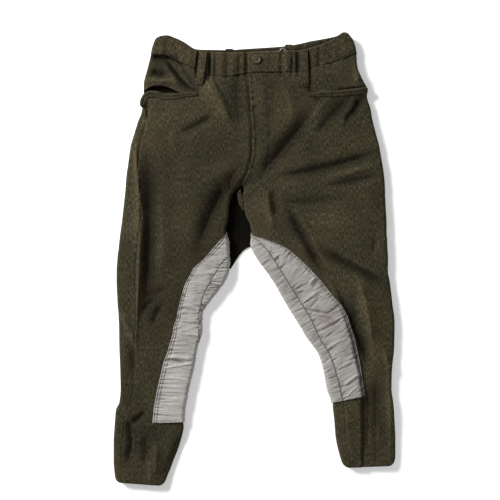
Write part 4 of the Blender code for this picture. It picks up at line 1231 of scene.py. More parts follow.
def fly_relief(x, y):
    """The fly's edge, puckered beside its two lines of stitching."""
    edge = x - fly_edge(y)
    along = smooth(150, 165, y) * smooth(372, 350, y)
    dimple = wander(y, edge * 0.2, 6.2, 77)
    near = bell(edge - 5, 4.5) * (2.4 * dimple - 0.9)
    far = bell(edge - 34, 4.0) * (1.2 * dimple - 0.7)
    return along * (near + 1.4 * bell(edge - 1.0, 2.2) + far)


def front_cloth(leg):
    """The front panel, with its pocket mouth cut in it."""
    share = np.linspace(0, 1, FRONT_COLUMNS + 1)[None, :]
    high_t = np.linspace(0, 1, FRONT_HIGH + 1)[:, None]
    low_t = np.linspace(0, 1, FRONT_LOW + 1)[:, None]

    def point(y):
        return front_point(leg, share, y)

    def high_y(x, _):
        return mix(front_seam(x) - GAP / 2, leg.mouth_up(x), high_t)

    def low_y(x, y):
        return mix(leg.mouth_low(x), leg.hem_line(x, y), low_t)

    high = settle(point, high_y, mix(WAIST_GUESS, MOUTH_UP_GUESS, high_t) + 0 * share)
    low = settle(point, low_y, mix(MOUTH_LOW_GUESS, HEM_GUESS, low_t) + 0 * share)
    whole = flat_of(np.concatenate([high, low]))
    cloth = Cloth()
    numbers = cloth.add(high, whole[: FRONT_HIGH + 1])
    x = low[0, :, 0]
    shut = (leg.mouth_up(x) - leg.mouth_low(x)) < MOUTH_SHUT
    keep = np.full(low.shape[:2], -1)
    keep[0] = np.where(shut, numbers[-1], -1)
    cloth.add(low, whole[FRONT_HIGH + 1:], keep)
    cloth.face(up=True)
    x, y, _ = cloth.points.T
    g = leg.place_of(x, y)
    height = crumple(g, y, leg.seed)
    from_outseam = g - (leg.seam(y) + GAP / 2)
    height += seam_dip(from_outseam, y, leg.seed + 3) * smooth(365, 330, y) * seam_ease(y)
    from_inseam = np.abs((leg.way(y) - leg.inseam(y)) - g)
    height += seam_dip(from_inseam, y, leg.seed + 4) * smooth(140, 110, y) * seam_ease(y)
    height += seam_dip(front_seam(x) - y, x, leg.seed + 5, 1.0, 2.6)
    if leg is left:
        height += fly_relief(x, y)
    hem_line = leg.slant(leg.hem, x, y) + HEM_TURN
    height += seam_dip(np.abs(y - hem_line), x, leg.seed + 6, 0.5, 1.8)
    cloth.push(height)
    return cloth


def hem_more(leg, cloth):
    """How much thicker the cloth is where the hem is turned up."""
    x, y, _ = cloth.points.T
    turned = leg.slant(leg.hem, x, y) + HEM_TURN
    return HEM_EXTRA * smooth(turned + 2, turned - 2, y)


def web_grid(leg, edge, fade):
    """The web between a back's edge above the fork and the seat seam."""
    share = np.linspace(0, 1, WEB_COLUMNS + 1)[None, :]
    edge_x, edge_y = edge[:, 0, None], edge[:, 1, None]
    x = mix(edge_x, seat_seam(edge_y) + leg.sign * SEAM_SHUT, share)
    y = edge_y + (back_seam(x) - back_seam(edge_x)) * fade
    return np.stack([x, y, under(leg, x, y)], axis=-1)


def fork_grid(leg, first_x, first_y):
    """The web's end, from the fork down to its lowest point."""
    fork = LEFT_FORK if leg is left else RIGHT_FORK
    lowest = fork[-1].y
    y = np.linspace(first_y, lowest, int((first_y - lowest) / WEB_STEP) + 2)[:, None]
    near = leg.outline(y) + leg.sign * 1.5
    far = seat_seam(y) + leg.sign * SEAM_SHUT
    if leg is left:
        near = np.where(y < fork[0].y, left_fork(y), near)
    else:
        far = np.where(y < fork[0].y, right_fork(y), far)
    near = mix(first_x, near, smooth(first_y, first_y - 12, y))
    x = mix(near, far, np.linspace(0, 1, WEB_COLUMNS + 1)[None, :])
    return np.stack(np.broadcast_arrays(x, y, 0.0), axis=-1)


def back_cloth(leg):
    """The back panel round the outer edge, under the leg and up to the inseam, with its fork."""
    share = np.linspace(0, 1, BACK_COLUMNS + 1)[None, :]
    t = np.linspace(0, 1, BACK_ROWS + 1)[:, None]

    def point(y):
        return back_point(leg, share, y)

    def height_on(x, y):
        side = np.clip(share / SIDE_BLEND, 0, 1)
        high = mix(front_seam(x), back_seam(x), side) - GAP / 2
        return mix(high, leg.hem_line(x, y), t)

    grid = settle(point, height_on, mix(WAIST_GUESS, HEM_GUESS, t) + 0 * share)
    cloth = Cloth()
    flat = flat_of(grid)
    numbers = cloth.add(grid, flat)
    edge = grid[:, -1]
    rows = int(np.sum(edge[:, 1] >= leg.reach.fork))
    web = web_grid(leg, edge[:rows], np.clip(1 - t[:rows] * 8, 0, 1))
    keep = np.full(web.shape[:2], -1)
    keep[:, 0] = numbers[:rows, -1]
    web_flat = flat[:rows, -1:] + (web[..., :1] - edge[:rows, None, :1]) * [1, 0]
    web_numbers = cloth.add(web, web_flat, keep)
    low = fork_grid(leg, *edge[rows - 1, :2])
    keep = np.full(low.shape[:2], -1)
    keep[0] = web_numbers[-1]
    cloth.add(low, low[..., :2], keep)
    cloth.face(up=False)
    x, y, z = cloth.points.T
    start = leg.seam(y) - GAP / 2
    g = leg.place_of(x, y)
    beside_seam = (g < start + 40) * seam_ease(y)
    height = crumple(g, y, leg.seed) + seam_dip(start - g, y, leg.seed + 3) * beside_seam
    cloth.push(height * smooth(6, 10, z))
    return cloth


def fork_shade(cloth):
    """Painted shade in the fork between the legs, deep between the leg rolls, where the cloth is made
    much darker.
    """
    x, y, z = cloth.points.T
    between = smooth(-70, -58, x) * smooth(4, -6, x) * smooth(-40, -28, y)
    between = between * smooth(160, 140, y) * smooth(9, 6, z)
    return mix(1.0, mix(0.12, 0.03, smooth(0, 60, y)), between)


fronts = {leg.name: front_cloth(leg) for leg in (right, left)}
backs = {leg.name: back_cloth(leg) for leg in (right, left)}

for leg in (right, left):
    cloth = fronts[leg.name]
    wall = -WOOL - hem_more(leg, cloth)
    dress(leg.name + "_front", cloth, 0, wall, wool, tone=painted_shading(cloth))
    cloth = backs[leg.name]
    wall = -WOOL - hem_more(leg, cloth)
    dress(leg.name + "_back", cloth, 0, wall, wool, tone=painted_shading(cloth) * fork_shade(cloth))


# Waistband


def swell(t, height):
    """A band's rounded section between its two edges."""
    return height * (1 - np.abs(2 * t - 1) ** 3)


def front_band(leg):
    """The band above a front, which on the right runs on behind the button."""
    share = np.linspace(0, 1, FRONT_COLUMNS + 1)[None, :]
    t = np.linspace(1, 0, BAND_ROWS + 1)[:, None]

    def point(y):
        return front_point(leg, share, y)

    def height_on(x, _):
        return mix(front_seam(x) + GAP / 2, front_top(x), t)

    grid = settle(point, height_on, WAIST_GUESS + 0 * share + 0 * t)
    grid[..., 2] -= fly_drop(leg, grid[..., 0], grid[..., 1], BAND_DROP - FLY_DROP)
    if leg is right:
        lap_share = np.linspace(0, 1, LAP_COLUMNS + 1)[None, 1:]
        x = fly_edge(WAIST_GUESS) + mix(FLY_LAP, BAND_LAP, lap_share) + 0 * t
        y = height_on(x, None)
        lap = np.stack([x, y, top(leg, x, y) - BAND_DROP], axis=-1)
        grid = np.concatenate([grid, lap], axis=1)
    rows = t + 0 * grid[..., 0]
    cloth = sheet_of(grid)
    x, y, _ = cloth.points.T
    seed = 50 + leg.seed
    height = swell(rows.ravel(), 0.9) + 0.4 * wander(x, y, 17, seed)
    height += 0.35 * wander(x, y * 0.4, 6, seed + 1)
    cloth.push(height)
    return cloth


def half_back_band(leg):
    """The grid of one half of the back band, from the side to the seat seam."""
    share = np.linspace(0, 1, BACK_COLUMNS + 1)[None, :]
    t = np.linspace(1, 0, BAND_ROWS + 1)[:, None]
    side = np.clip(share / SIDE_BLEND, 0, 1)

    def point(y):
        return back_point(leg, share, y)

    def height_on(x, _):
        low = mix(front_seam(x), back_seam(x), side) + GAP / 2
        return mix(low, mix(front_top(x), back_top(x), side), t)

    grid = settle(point, height_on, WAIST_GUESS + 0 * share + 0 * t)
    step = np.linspace(0, 1, WEB_COLUMNS + 1)[None, 1:]
    x = mix(grid[:, -1:, 0], seat_seam(WAIST_GUESS), step)
    y = mix(back_seam(x) + GAP / 2, back_top(x), t)
    more = np.stack([x, y, under(leg, x, y)], axis=-1)
    return np.concatenate([grid, more], axis=1)


def back_band():
    """The back's band, whose inside shows above the front's upper edge."""
    halves = [half_back_band(right), half_back_band(left)[:, -2::-1]]
    cloth = sheet_of(np.concatenate(halves, axis=1), up=False)
    x, y, z = cloth.points.T
    cloth.push(0.5 * wander(x, y, 16, 81) * smooth(1.5, 4.0, z))
    return cloth


bands = {leg.name: front_band(leg) for leg in (right, left)}
for name, cloth in bands.items():
    tone = painted_shading(cloth) * band_edge_highlights(cloth)
    dress(name + "_front_band", cloth, 0, -BAND, wool_trim, 0.5, tone)
rear = back_band()
dress("back_band", rear, 0, -BAND, inside_wool_lightened, 0.5, band_shade(rear))


# Patches

PATCH_COLUMNS = 76
PATCH_ROWS = 380
BACK_PATCH_COLUMNS = 34

# How many puckers each patch has, how much they slant, and how pale each leg's patches are
PUCKERS = 330
PUCKER_SLANT = {"right": 0.06, "left": 0.5}
PATCH_TONE = {"right": 1.1, "left": 0.85}

# How far the two lines of stitches lie inside a patch's edge
EDGE_IN = 2.2
SECOND_IN = 6.4

# A first roll that no patch reaches
NO_ROLL = -9e9


def puckers(share, y, seed):
    """Many short uneven troughs across a patch, starting from its seams."""
    random = np.random.RandomState(seed)
    z = np.zeros(y.shape)
    for _ in range(PUCKERS):
        middle = mix(y.min(), y.max(), random.rand())
        from_edge = random.rand() < 0.5
        reach = 0.16 + 0.5 * random.rand() ** 2
        slope = random.uniform(-9, 12)
        width = random.uniform(0.8, 1.7)
        depth = random.uniform(0.3, 0.95)
        bow = random.uniform(-3, 3)
        q = share if from_edge else 1 - share
        line = middle - slope * (share - 0.5) + bow * np.sin(q * 5)
        gap = (y - line) / width
        near = np.abs(gap) < 3
        fade = smooth(reach, reach * 0.4, q[near]) * smooth(-0.02, 0.05, q[near])
        z[near] -= depth * fade * bell(gap[near], 1)
    return z


def wrinkle(w, share, y):
    """One crosswise wrinkle between two shares of the patch's width."""
    line = w.y - w.slope * (2 * share - w.first - w.last)
    fade = smooth(w.first - 0.04, w.first + 0.12, share)
    fade = fade * smooth(w.last + 0.04, w.last - 0.12, share)
    return w.height * fade * bell(y - line, w.width)


def patch_relief(leg, share, y, behind):
    """The puckers, the nap's fine unevenness and the wrinkles of a patch."""
    seed = leg.seed + 120 + (7 if behind else 0)
    width = leg.under(y) + leg.inseam(y) if behind else leg.patch(y) - leg.inseam(y)
    slant = PUCKER_SLANT[leg.name] * (-1 if behind else 1)
    level = y - slant * (1 - share) * width
    z = 1.1 + puckers(share, level, seed)
    z += 0.35 * wander(level, share * 30, 9, seed + 2)
    z += 0.34 * wander(level, share * 7, 2.3, seed + 5)
    return z if behind else z + sum(wrinkle(w, share, y) for w in WRINKLES[leg.name])


def patch_places(leg, behind, y):
    """A patch's first and last place round the leg: its stitched edge and its edge at the inseam."""
    way = leg.way(y)
    if behind:
        full = smooth(BACK_PATCH_START[leg.name], leg.reach.back_patch, y)
        return way + mix(QUARTER, leg.under(y), full), way - leg.inseam(y) + GAP / 2
    width = leg.patch(y) - leg.inseam(y) - GAP / 2
    to_point = np.clip((y - leg.reach.front_patch) / POINT_LENGTH + 1, 0, 1)
    turned_in = np.minimum(PATCH_POINT[leg.name] * to_point ** 1.5, width - 1.5)
    return way - leg.patch(y) + turned_in, way - leg.inseam(y) - GAP / 2


def patch_grid(leg, behind):
    """The grid of a patch, and each point's share of the way across it."""
    columns = BACK_PATCH_COLUMNS if behind else PATCH_COLUMNS
    share = np.linspace(0, 1, columns + 1)[None, :]
    t = np.linspace(0, 1, PATCH_ROWS + 1)[:, None]
    top_y = float(BACK_PATCH_START[leg.name] if behind else leg.reach.front_patch)

    def point(y):
        start, stop = patch_places(leg, behind, y)
        if behind:
            return over(leg, mix(start, stop, share), y)
        return over(leg, place(start, stop, NO_ROLL, leg.way(y) - QUARTER, share), y)

    def height_on(x, y):
        return mix(top_y, leg.slant(leg.patch_end, x, y), t)

    grid = settle(point, height_on, mix(top_y, leg.reach.patch_end, t) + 0 * share)
    return grid, (share + 0 * t).ravel()


def patch_cloth_of(leg, behind):
    """A patch: its cloth on the wool, its own relief with stitched edges, and its tone, with painted
    light and shade on its puckers and painted shadow beside the left leg's overlap.
    """
    grid, share = patch_grid(leg, behind)
    cloth = sheet_of(grid, up=not behind)
    x, y, z = cloth.points.T
    start, stop = patch_places(leg, behind, y)
    width = np.abs(stop - start)
    to_edge, to_seam = share * width, (1 - share) * width
    pinch = 0.7 * bell(to_edge - EDGE_IN, 0.9) + 0.6 * bell(to_edge - SECOND_IN, 0.9)
    pinch += 0.9 * bell(to_seam, 1.8)
    fine = patch_relief(leg, share, y, behind)
    fine = np.maximum((fine - pinch) * smooth(0, 14, width) + 0.35, -0.5)
    lines = 0.5 * (bell(to_edge - EDGE_IN, 1.0) + bell(to_edge - SECOND_IN, 1.0))
    lines += 0.6 * bell(to_seam, 1.4)
    # Painted light on the puckers' ridges and painted shade in their hollows; darker along the stitch
    # lines, partly dark seams and partly painted shade in their grooves
    tone = np.clip(0.94 + 0.20 * (fine - 0.85), 0.6, 1.12) * (1 - 0.7 * np.clip(lines, 0, 1))
    if leg is left and not behind:
        # Painted shadow beside the left leg's overlap fold
        beyond = x - leg.overlap(y)
        shadow = smooth(-1.0, 0.5, beyond) * mix(0.3, 0.65, smooth(4, 1.5, beyond))
        tone = tone * (1 - shadow * smooth(STEP[0].y, -150, y))
    tone = tone * PATCH_TONE[leg.name] * mix(1.0, painted_shading(cloth), 0.5)
    cloth.push(crumple(leg.place_of(x, y), y, leg.seed) * smooth(6, 10, z))
    out = GAP + PATCH + fine
    if behind:
        out = GAP + PATCH + fine * smooth(3, 8, z)
        out = mix(out, np.minimum(out, GAP + PATCH), smooth(6, 1, cloth.points[:, 2]))
    return cloth, out, tone


for leg in (right, left):
    for side in ("front", "back"):
        name = leg.name + "_" + side + "_patch"
        cloth, out, tone = patch_cloth_of(leg, side == "back")
        dress(name, cloth, out, GAP, patch_cotton, 0.2, tone)
        sewn_on[name] = cloth.raised(out)


# Pockets, belt loops and the fly's underlap

# The pocket bags: heights on the page, the share of the front that they run across, steps, how
# far each sags behind its mouth, and how far behind the wool its own wall is
BAG_TOP = 366
BAG_LOW = 300
BAG_SHARE = 0.52
BAG_COLUMNS = 40
BAG_ROWS = 34
BAG_DEPTH = {"right": 7.0, "left": 1.5}
BAG_GAP = 1.2
BAG_WALL = 1.0
MOUTH_HEIGHT = 338


def bag_cloth(leg):
    """The pocket's cloth behind its mouth, and how far it sags there."""
    share = np.linspace(0.0, BAG_SHARE, BAG_COLUMNS)[None, :]
    y = np.linspace(BAG_TOP, BAG_LOW, BAG_ROWS)[:, None] + 0 * share
    cloth = sheet_of(front_point(leg, share, y))
    x, y, _ = cloth.points.T
    sag = BAG_DEPTH[leg.name] * bell(y - MOUTH_HEIGHT, 13)
    return cloth, sag + 0.4 * wander(x, y, 12, 91) + 0.5


for leg in (right, left):
    cloth, sag = bag_cloth(leg)
    start = -WOOL - GAP - BAG_GAP - sag
    dress(leg.name + "_pocket_bag", cloth, start, start - BAG_WALL, pocket_bag_shaded_wool)

surface = Cloth()
for cloth in (*fronts.values(), *bands.values()):
    surface.faces = np.vstack([surface.faces, cloth.faces + len(surface.points)])
    surface.points = np.vstack([surface.points, cloth.points])
cover = surface.tree()


def height_at(tree, x, y, reach):
    """The highest cloth near a place, or the nearest cloth's height where none is below it."""
    best = None
    for dx, dy in ((0, 0), (reach, 0), (-reach, 0), (0, reach), (0, -reach)):
        hit = tree.ray_cast(Vector((x + dx, y + dy, 200)), Vector((0, 0, -1)))[0]
        if hit is not None and (best is None or hit.z > best):
            best = hit.z
    if best is None:
        best = tree.find_nearest(Vector((x, y, 12)))[0].z
    return best


def laid(path, tree, reach):
    """Places on the page with the heights of the cloth there."""
    return [(x, y, height_at(tree, x, y, reach)) for x, y in path]


def resample(rows, count):
    """Evenly spaced points of a smooth line through rows of x, y and, where given, width."""
    rows = np.array(rows, float)
    steps = np.hypot(*np.diff(rows[:, :2], axis=0).T)
    along = np.concatenate([[0], np.cumsum(steps)])
    s = np.linspace(0, along[-1], count)
    return np.stack([curve(list(zip(along, values)))(s) for values in rows.T], axis=-1)


def sideways(line):
    """Unit directions to the left of a line on the page."""
    step = np.gradient(line[:, :2], axis=0)
    step /= np.linalg.norm(step, axis=1, keepdims=True)
    return np.stack([-step[:, 1], step[:, 0]], axis=-1)


def ribbon(line, across, tree, reach):
    """Points on the cloth below a line with widths, at shares of its half width."""
    side = sideways(line)
    rows = []
    for (x, y, width), (side_x, side_y) in zip(line, side):
        path = [(x + side_x * a * width / 2, y + side_y * a * width / 2) for a in across]
        rows.append(laid(path, tree, reach))
    return np.array(rows)


# Places across the welts and the loops, as shares of the half width, and steps along them
WELT_ACROSS = np.array([-1, -0.93, -0.8, -0.55, -0.25, 0.05, 0.35, 0.62, 0.82, 0.94, 1])
LOOP_ACROSS = np.array([-1, -0.94, -0.8, -0.66, -0.4, 0, 0.4, 0.66, 0.8, 0.94, 1])
WELT_ROWS = 84
LOOP_ROWS = 46


def welt_cloth(leg):
    """A welt on the cloth under its pocket's mouth, with a full lip and a sewn groove."""
    line = resample(WELTS[leg.name], WELT_ROWS)
    grid = ribbon(line, WELT_ACROSS, cover, 1.2)
    for _ in range(2):
        grid[1:-1, :, 2] = (grid[:-2, :, 2] + grid[1:-1, :, 2] * 2 + grid[2:, :, 2]) / 4
        low = grid[:, :, 2].copy()
        grid[:, 1:-1, 2] = (low[:, :-2] + low[:, 1:-1] * 2 + low[:, 2:]) / 4
    a = np.broadcast_to(WELT_ACROSS, grid.shape[:2]).ravel()
    t = np.broadcast_to(np.linspace(0, 1, len(line))[:, None], grid.shape[:2]).ravel()
    ridge = 1.6 * bell(a * leg.sign - 0.45, 0.42) * smooth(0.02, 0.3, t)
    groove = -0.9 * bell(a * leg.sign + 0.35, 0.16)
    puckered = 0.3 * wander(t * 120, a * 2, 3.4, 95)
    wall = LOOP_WALL * (1 - np.abs(a) ** 6 * 0.5)
    return sheet_of(grid), GAP + wall + np.maximum(ridge + groove + puckered, -0.8)


for leg in (right, left):
    name = leg.name + "_pocket_welt"
    cloth, out = welt_cloth(leg)
    dress(name, cloth, out, GAP, wool_trim, 0.4)
    sewn_on[name] = cloth.raised(out)

# How much paler the front loops are, and where along them the bars of thread lie
LOOP_TONE = 1.28
BAR_AT = (0.035, 0.965)


def loop_cloth(loop):
    """A belt loop that bridges the cloth between its sewn ends."""
    t = np.linspace(0, 1, LOOP_ROWS)
    line = np.stack(
        [mix(loop.x0, loop.x1, t), mix(loop.y0, loop.y1, t), mix(loop.width0, loop.width1, t)],
        axis=-1,
    )
    grid = ribbon(line, LOOP_ACROSS, cover, 2.4)
    level = grid[..., 2].max(axis=1)
    level = np.array([level[max(0, j - 5): j + 6].max() for j in range(len(level))])
    level = np.convolve(np.pad(level, 4, mode="edge"), np.ones(9) / 9, mode="valid")
    lift = 1.8 * smooth(0, 0.14, t) * smooth(1, 0.88, t)
    grid[..., 2] = mix(grid[..., 2], level[:, None], 0.85) + lift[:, None]
    grid[..., 2] += loop.tilt * LOOP_ACROSS[None, :]
    a = np.broadcast_to(LOOP_ACROSS, grid.shape[:2]).ravel()
    s = np.broadcast_to(t[:, None], grid.shape[:2]).ravel()
    groove = -0.7 * bell(np.abs(a) - 0.7, 0.09)
    uneven = 0.35 * wander(s * 68, a * 5, 7, 97)
    ends = -0.8 * (bell(s - BAR_AT[0], 0.02) + bell(s - BAR_AT[1], 0.02))
    return sheet_of(grid), GAP + LOOP_WALL + groove + uneven + ends - 0.5 * np.abs(a) ** 5


for name, loop in LOOPS.items():
    cloth, out = loop_cloth(loop)
    # The front loops are made paler all over
    loop_paleness = np.full(len(cloth.points), LOOP_TONE)
    dress(name, cloth, out, GAP, wool_trim, 0.5, loop_paleness)
    sewn_on[name] = cloth.raised(out)

BACK_LOOPS = {"right_back_loop": -51, "left_back_loop": 69}
BACK_LOOP_HALF = 7
BACK_LOOP_LENGTH = 68
for name, x in BACK_LOOPS.items():
    across = np.linspace(-1, 1, 12)[None, :]
    down = np.linspace(0, BACK_LOOP_LENGTH, 40)[:, None]
    high = float(back_top(np.array(x))) + 3.0
    grid = np.stack(np.broadcast_arrays(x + BACK_LOOP_HALF * across, high - down, 0.0), axis=-1)
    out = (LOOP_RISE - GAP) * (1 - 0.3 * np.abs(across) ** 6 + 0 * down).ravel()
    dress(name, sheet_of(grid), out, 0, wool_trim, 0.4)

UnderlapRow = namedtuple("UnderlapRow", "y width height")

UNDERLAP = [
    UnderlapRow(140, 3.0, 11.5), UnderlapRow(132, 8.5, 11.0), UnderlapRow(122, 10.0, 10.5),
    UnderlapRow(112, 9.0, 10.0), UnderlapRow(103, 6.0, 9.5), UnderlapRow(98, 1.5, 9.0),
]


def underlap_cloth():
    """The end of the strip behind the fly, a small crescent beside the left leg's roll."""
    y = np.linspace(140, 98, 30)[:, None]
    t = np.linspace(1, 0, 10)[None, :]
    width = column(UNDERLAP, "width")(y)
    x = left.inner(y) - GAP - 0.2 - width * t
    z = column(UNDERLAP, "height")(y) - 2.5 * t * t
    return sheet_of(np.stack([x, y + 0 * t, z], axis=-1))


dress("fly_underlap", underlap_cloth(), 0, -1.5, wool_trim, 0.3)


# Button and eyelet


def ring_quads(rings, sides, closed=False):
    """Quads from each ring of points to the next, and where closed from the last to the first."""
    k = np.arange(sides)
    n = (k + 1) % sides
    low = sides * np.arange(rings if closed else rings - 1)[:, None]
    high = (low + sides) % (rings * sides)
    return np.stack([low + k, low + n, high + n, high + k], axis=-1).reshape(-1, 4)


def turned(name, profile, sides, centre, material, slot):
    """A round piece from (radius, height) pairs that start on its axis, or go round a ring."""
    angles = 2 * math.pi * np.arange(sides) / sides
    ring = np.stack([np.cos(angles), np.sin(angles), np.zeros(sides)], axis=-1)
    points = [ring * max(radius, 0.01) + (0, 0, height) for radius, height in profile]
    points = np.concatenate(points) + np.array(centre)
    quads = ring_quads(len(profile), sides, closed=profile[0][0] > 0)
    flat = points[:, :2] - np.array(centre)[:2]
    return mesh_object(name, points, quads, flat, material)


BUTTON = (4.2, 400.0)
HOLES = 4
HOLE_OUT = 2.1
HOLE_RADIUS = 1.0
HOLE_DEPTH = 14.0

button_x, button_y = BUTTON
button_z = GAP + max(
    height_at(cover, button_x + dx, button_y + dy, 2) for dx in (-6, 0, 6) for dy in (-6, 0, 6)
)
r = BUTTON_RADIUS
PROFILE = [
    (0, 0.2), (r - 2.0, 0.0), (r - 1.0, 0.2), (r - 0.35, 0.7), (r, 1.5), (r - 0.1, 2.1),
    (r - 0.45, 2.7), (r - 1.1, 3.1), (r - 1.8, 3.15), (r - 2.4, 2.9), (r - 2.9, 2.45),
    (r - 3.5, 2.2), (r - 5.0, 2.1), (0, 2.15),
]


def drill(thing, x, y, z):
    """Cuts the thread holes through a button."""
    cutters = []
    for n in range(HOLES):
        a = 2 * math.pi * (n + 0.5) / HOLES
        centre = Vector((x + HOLE_OUT * math.cos(a), y + HOLE_OUT * math.sin(a), z)) * MM
        bpy.ops.mesh.primitive_cylinder_add(
            vertices=20, radius=HOLE_RADIUS * MM, depth=HOLE_DEPTH * MM, location=centre
        )
        cutters.append(bpy.context.object)
        hole = thing.modifiers.new("hole_%d" % n, "BOOLEAN")
        hole.operation = "DIFFERENCE"
        hole.solver = "EXACT"
        hole.object = cutters[-1]
    bpy.context.view_layer.update()
    drilled = thing.evaluated_get(bpy.context.evaluated_depsgraph_get())
    mesh = bpy.data.meshes.new_from_object(drilled)
    thing.modifiers.clear()
    thing.data = mesh
    mesh.shade_smooth()
    mesh.set_sharp_from_angle(angle=math.radians(40))
    for cutter in cutters:
        bpy.data.objects.remove(cutter, do_unlink=True)


button = turned("waist_button_turned", PROFILE, 72, (*BUTTON, button_z), horn, "button")
drill(button, *BUTTON, button_z + 2 - GAP)
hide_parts("waist_button")

EYELET = (57, 418, LOOP_RISE + BAND + GAP + 0.6)
r = EYELET_RADIUS
RING = [
    (r - 3.4, 0.3), (r - 2.6, 0.0), (r - 1.0, 0.0), (r - 0.3, 0.2), (r, 0.6), (r - 0.3, 1.1),
    (r - 0.9, 1.55), (r - 1.7, 1.8), (r - 2.5, 1.7), (r - 3.1, 1.3), (r - 3.4, 0.8),
]
eyelet = turned("brace_eyelet_ring", RING, 56, EYELET, metal, "eyelet")
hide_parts("brace_eyelet")


# Stitching

# Threads: length on top of the cloth, gap to the next stitch, width and height
Thread = namedtuple("Thread", "length gap width height")
TOPSTITCH = Thread(3.0, 0.8, 0.95, 0.45)
SEAMSTITCH = Thread(2.6, 0.6, 0.8, 0.36)
BARTACK = Thread(2.2, -1.2, 0.8, 0.5)
SINK = 0.12

# Places along a stitch as shares of its length, and its thickness there
STITCH_RINGS = np.array([-0.5, -0.36, 0.0, 0.36, 0.5])
STITCH_SIZES = np.array([0.25, 0.8, 1.0, 0.8, 0.25])
STITCH_SIDES = 6


class Stitches:
    """Many small stitches in one mesh."""

    def __init__(self):
        self.points = []
        self.faces = []
        self.count = 0
        self.quads = ring_quads(len(STITCH_RINGS), STITCH_SIDES)
        self.shape = np.array([
            (along, size * math.cos(a) / 2, size * math.sin(a))
            for along, size in zip(STITCH_RINGS, STITCH_SIZES)
            for a in 2 * math.pi * np.arange(STITCH_SIDES) / STITCH_SIDES
        ])

    def stitch(self, middle, along, up, thread, length):
        """One stitch of a length, round its middle."""
        size = np.array([length, thread.width, thread.height])
        axes = np.stack([along, np.cross(up, along), up])
        self.points.append(middle + self.shape * size @ axes)
        self.faces.append(self.quads + self.count * len(self.shape))
        self.count += 1

    def line(self, tree, path, thread):
        """Stitches along a path, laid on the nearest cloth."""
        path = np.asarray(path, float)
        steps = np.linalg.norm(np.diff(path, axis=0), axis=1)
        along = np.concatenate([[0], np.cumsum(steps)])
        pitch = thread.length + thread.gap
        for s in np.arange(pitch / 2, along[-1], pitch):
            ends = [
                np.array([np.interp(s + e, along, path[:, k]) for k in range(3)])
                for e in (-thread.length / 2, thread.length / 2)
            ]
            found = [tree.find_nearest(Vector(p)) for p in ends]
            a, b = (np.array(f[0]) for f in found)
            up = np.array(found[0][1]) + np.array(found[1][1])
            up /= max(np.linalg.norm(up), 1e-9)
            run = b - a
            length = np.linalg.norm(run)
            if length < 0.4:
                continue
            run /= length
            up = up - run * np.dot(up, run)
            up /= max(np.linalg.norm(up), 1e-9)
            wobble = 0.12 * math.sin(self.count * 2.4)
            middle = (a + b) / 2 - up * SINK + np.cross(up, run) * wobble
            self.stitch(middle, run, up, thread, length)

    def build(self, name, material):
        points = np.concatenate(self.points)
        points[:, 2] = np.maximum(points[:, 2], 0.0)
        faces = np.concatenate(self.faces)
        return mesh_object(name, points, faces, points[:, :2], material)


trees = {name: cloth.tree() for name, cloth in sewn_on.items()}
patch_stitches = Stitches()
wool_stitches = Stitches()

STITCH_POINTS = 420
EDGE_LINE_END = {"right": -326, "left": -264}
END_LINES = (2.0, 4.8)


def sew_patches(leg):
    """Two lines inside each free edge of the front patch, one at its seam, two on the back patch."""
    tree = trees[leg.name + "_front_patch"]
    first = leg.reach.front_patch - 3
    last = leg.reach.patch_end
    y = np.linspace(first, EDGE_LINE_END[leg.name], STITCH_POINTS)
    for inset in (EDGE_IN, SECOND_IN):
        line = over(leg, leg.way(y) - leg.patch(y) + inset, y)
        wide = leg.patch(y) - leg.inseam(y) > inset + 3
        patch_stitches.line(tree, line[wide], TOPSTITCH)
    y = np.linspace(first, last + 6, STITCH_POINTS)
    patch_stitches.line(tree, over(leg, leg.way(y) - leg.inseam(y) - 1.6, y), SEAMSTITCH)
    share = np.linspace(0.03, 0.97, 60)
    for inset in END_LINES:
        y = np.full(len(share), float(last))
        for _ in range(4):
            g = leg.way(y) - mix(leg.patch(y), leg.inseam(y), share)
            x = leg.out_centre(y) - leg.sign * (g - QUARTER)
            y = leg.slant(leg.patch_end, x, y) + inset
        patch_stitches.line(tree, over(leg, g, y), TOPSTITCH)
    tree = trees[leg.name + "_back_patch"]
    y = np.linspace(leg.reach.back_patch - 3, last + 4, STITCH_POINTS)
    for inset in END_LINES:
        patch_stitches.line(tree, over(leg, leg.way(y) + leg.under(y) - inset, y), TOPSTITCH)


for leg in (right, left):
    sew_patches(leg)


def sew(leg, x, y, thread):
    """A line of stitches on the wool of a leg's front."""
    wool_stitches.line(cover, np.stack([x, y, top(leg, x, y)], axis=-1), thread)


# The fly's line beside its edge, and the curved one that holds it down
FLY_LINE = np.linspace(368, 152, 160)
FLY_CURVE = [(33, 370), (34, 300), (33, 240), (30, 200), (24, 172), (14, 156), (-2, 149), (-20, 143)]

sew(left, fly_edge(FLY_LINE) + 3.2, FLY_LINE, TOPSTITCH)
sew(left, *resample(FLY_CURVE, 160).T, TOPSTITCH)


def sew_band(leg):
    """The lines above the front band's seam and below its upper edge."""
    x = np.linspace(leg.out(400.0) - leg.sign * 4, front_end(leg, 372.0), 260)
    if leg is right:
        x = x[x < fly_edge(380.0) - 1]
    sew(leg, x, front_seam(x) + 2.4, TOPSTITCH)
    x = np.linspace(leg.out(430.0) - leg.sign * 3, fly_edge(410.0) + leg.sign * 1.0, 260)
    sew(leg, x, front_top(x) - 3.2, TOPSTITCH)


def sew_hem(leg):
    share = np.linspace(0.02, 0.98, 120)
    y = np.full(len(share), float(leg.hem.outer))
    for _ in range(3):
        p = front_point(leg, share, y)
        y = leg.slant(leg.hem, p[:, 0], y) + HEM_TURN
    wool_stitches.line(cover, front_point(leg, share, y), SEAMSTITCH)


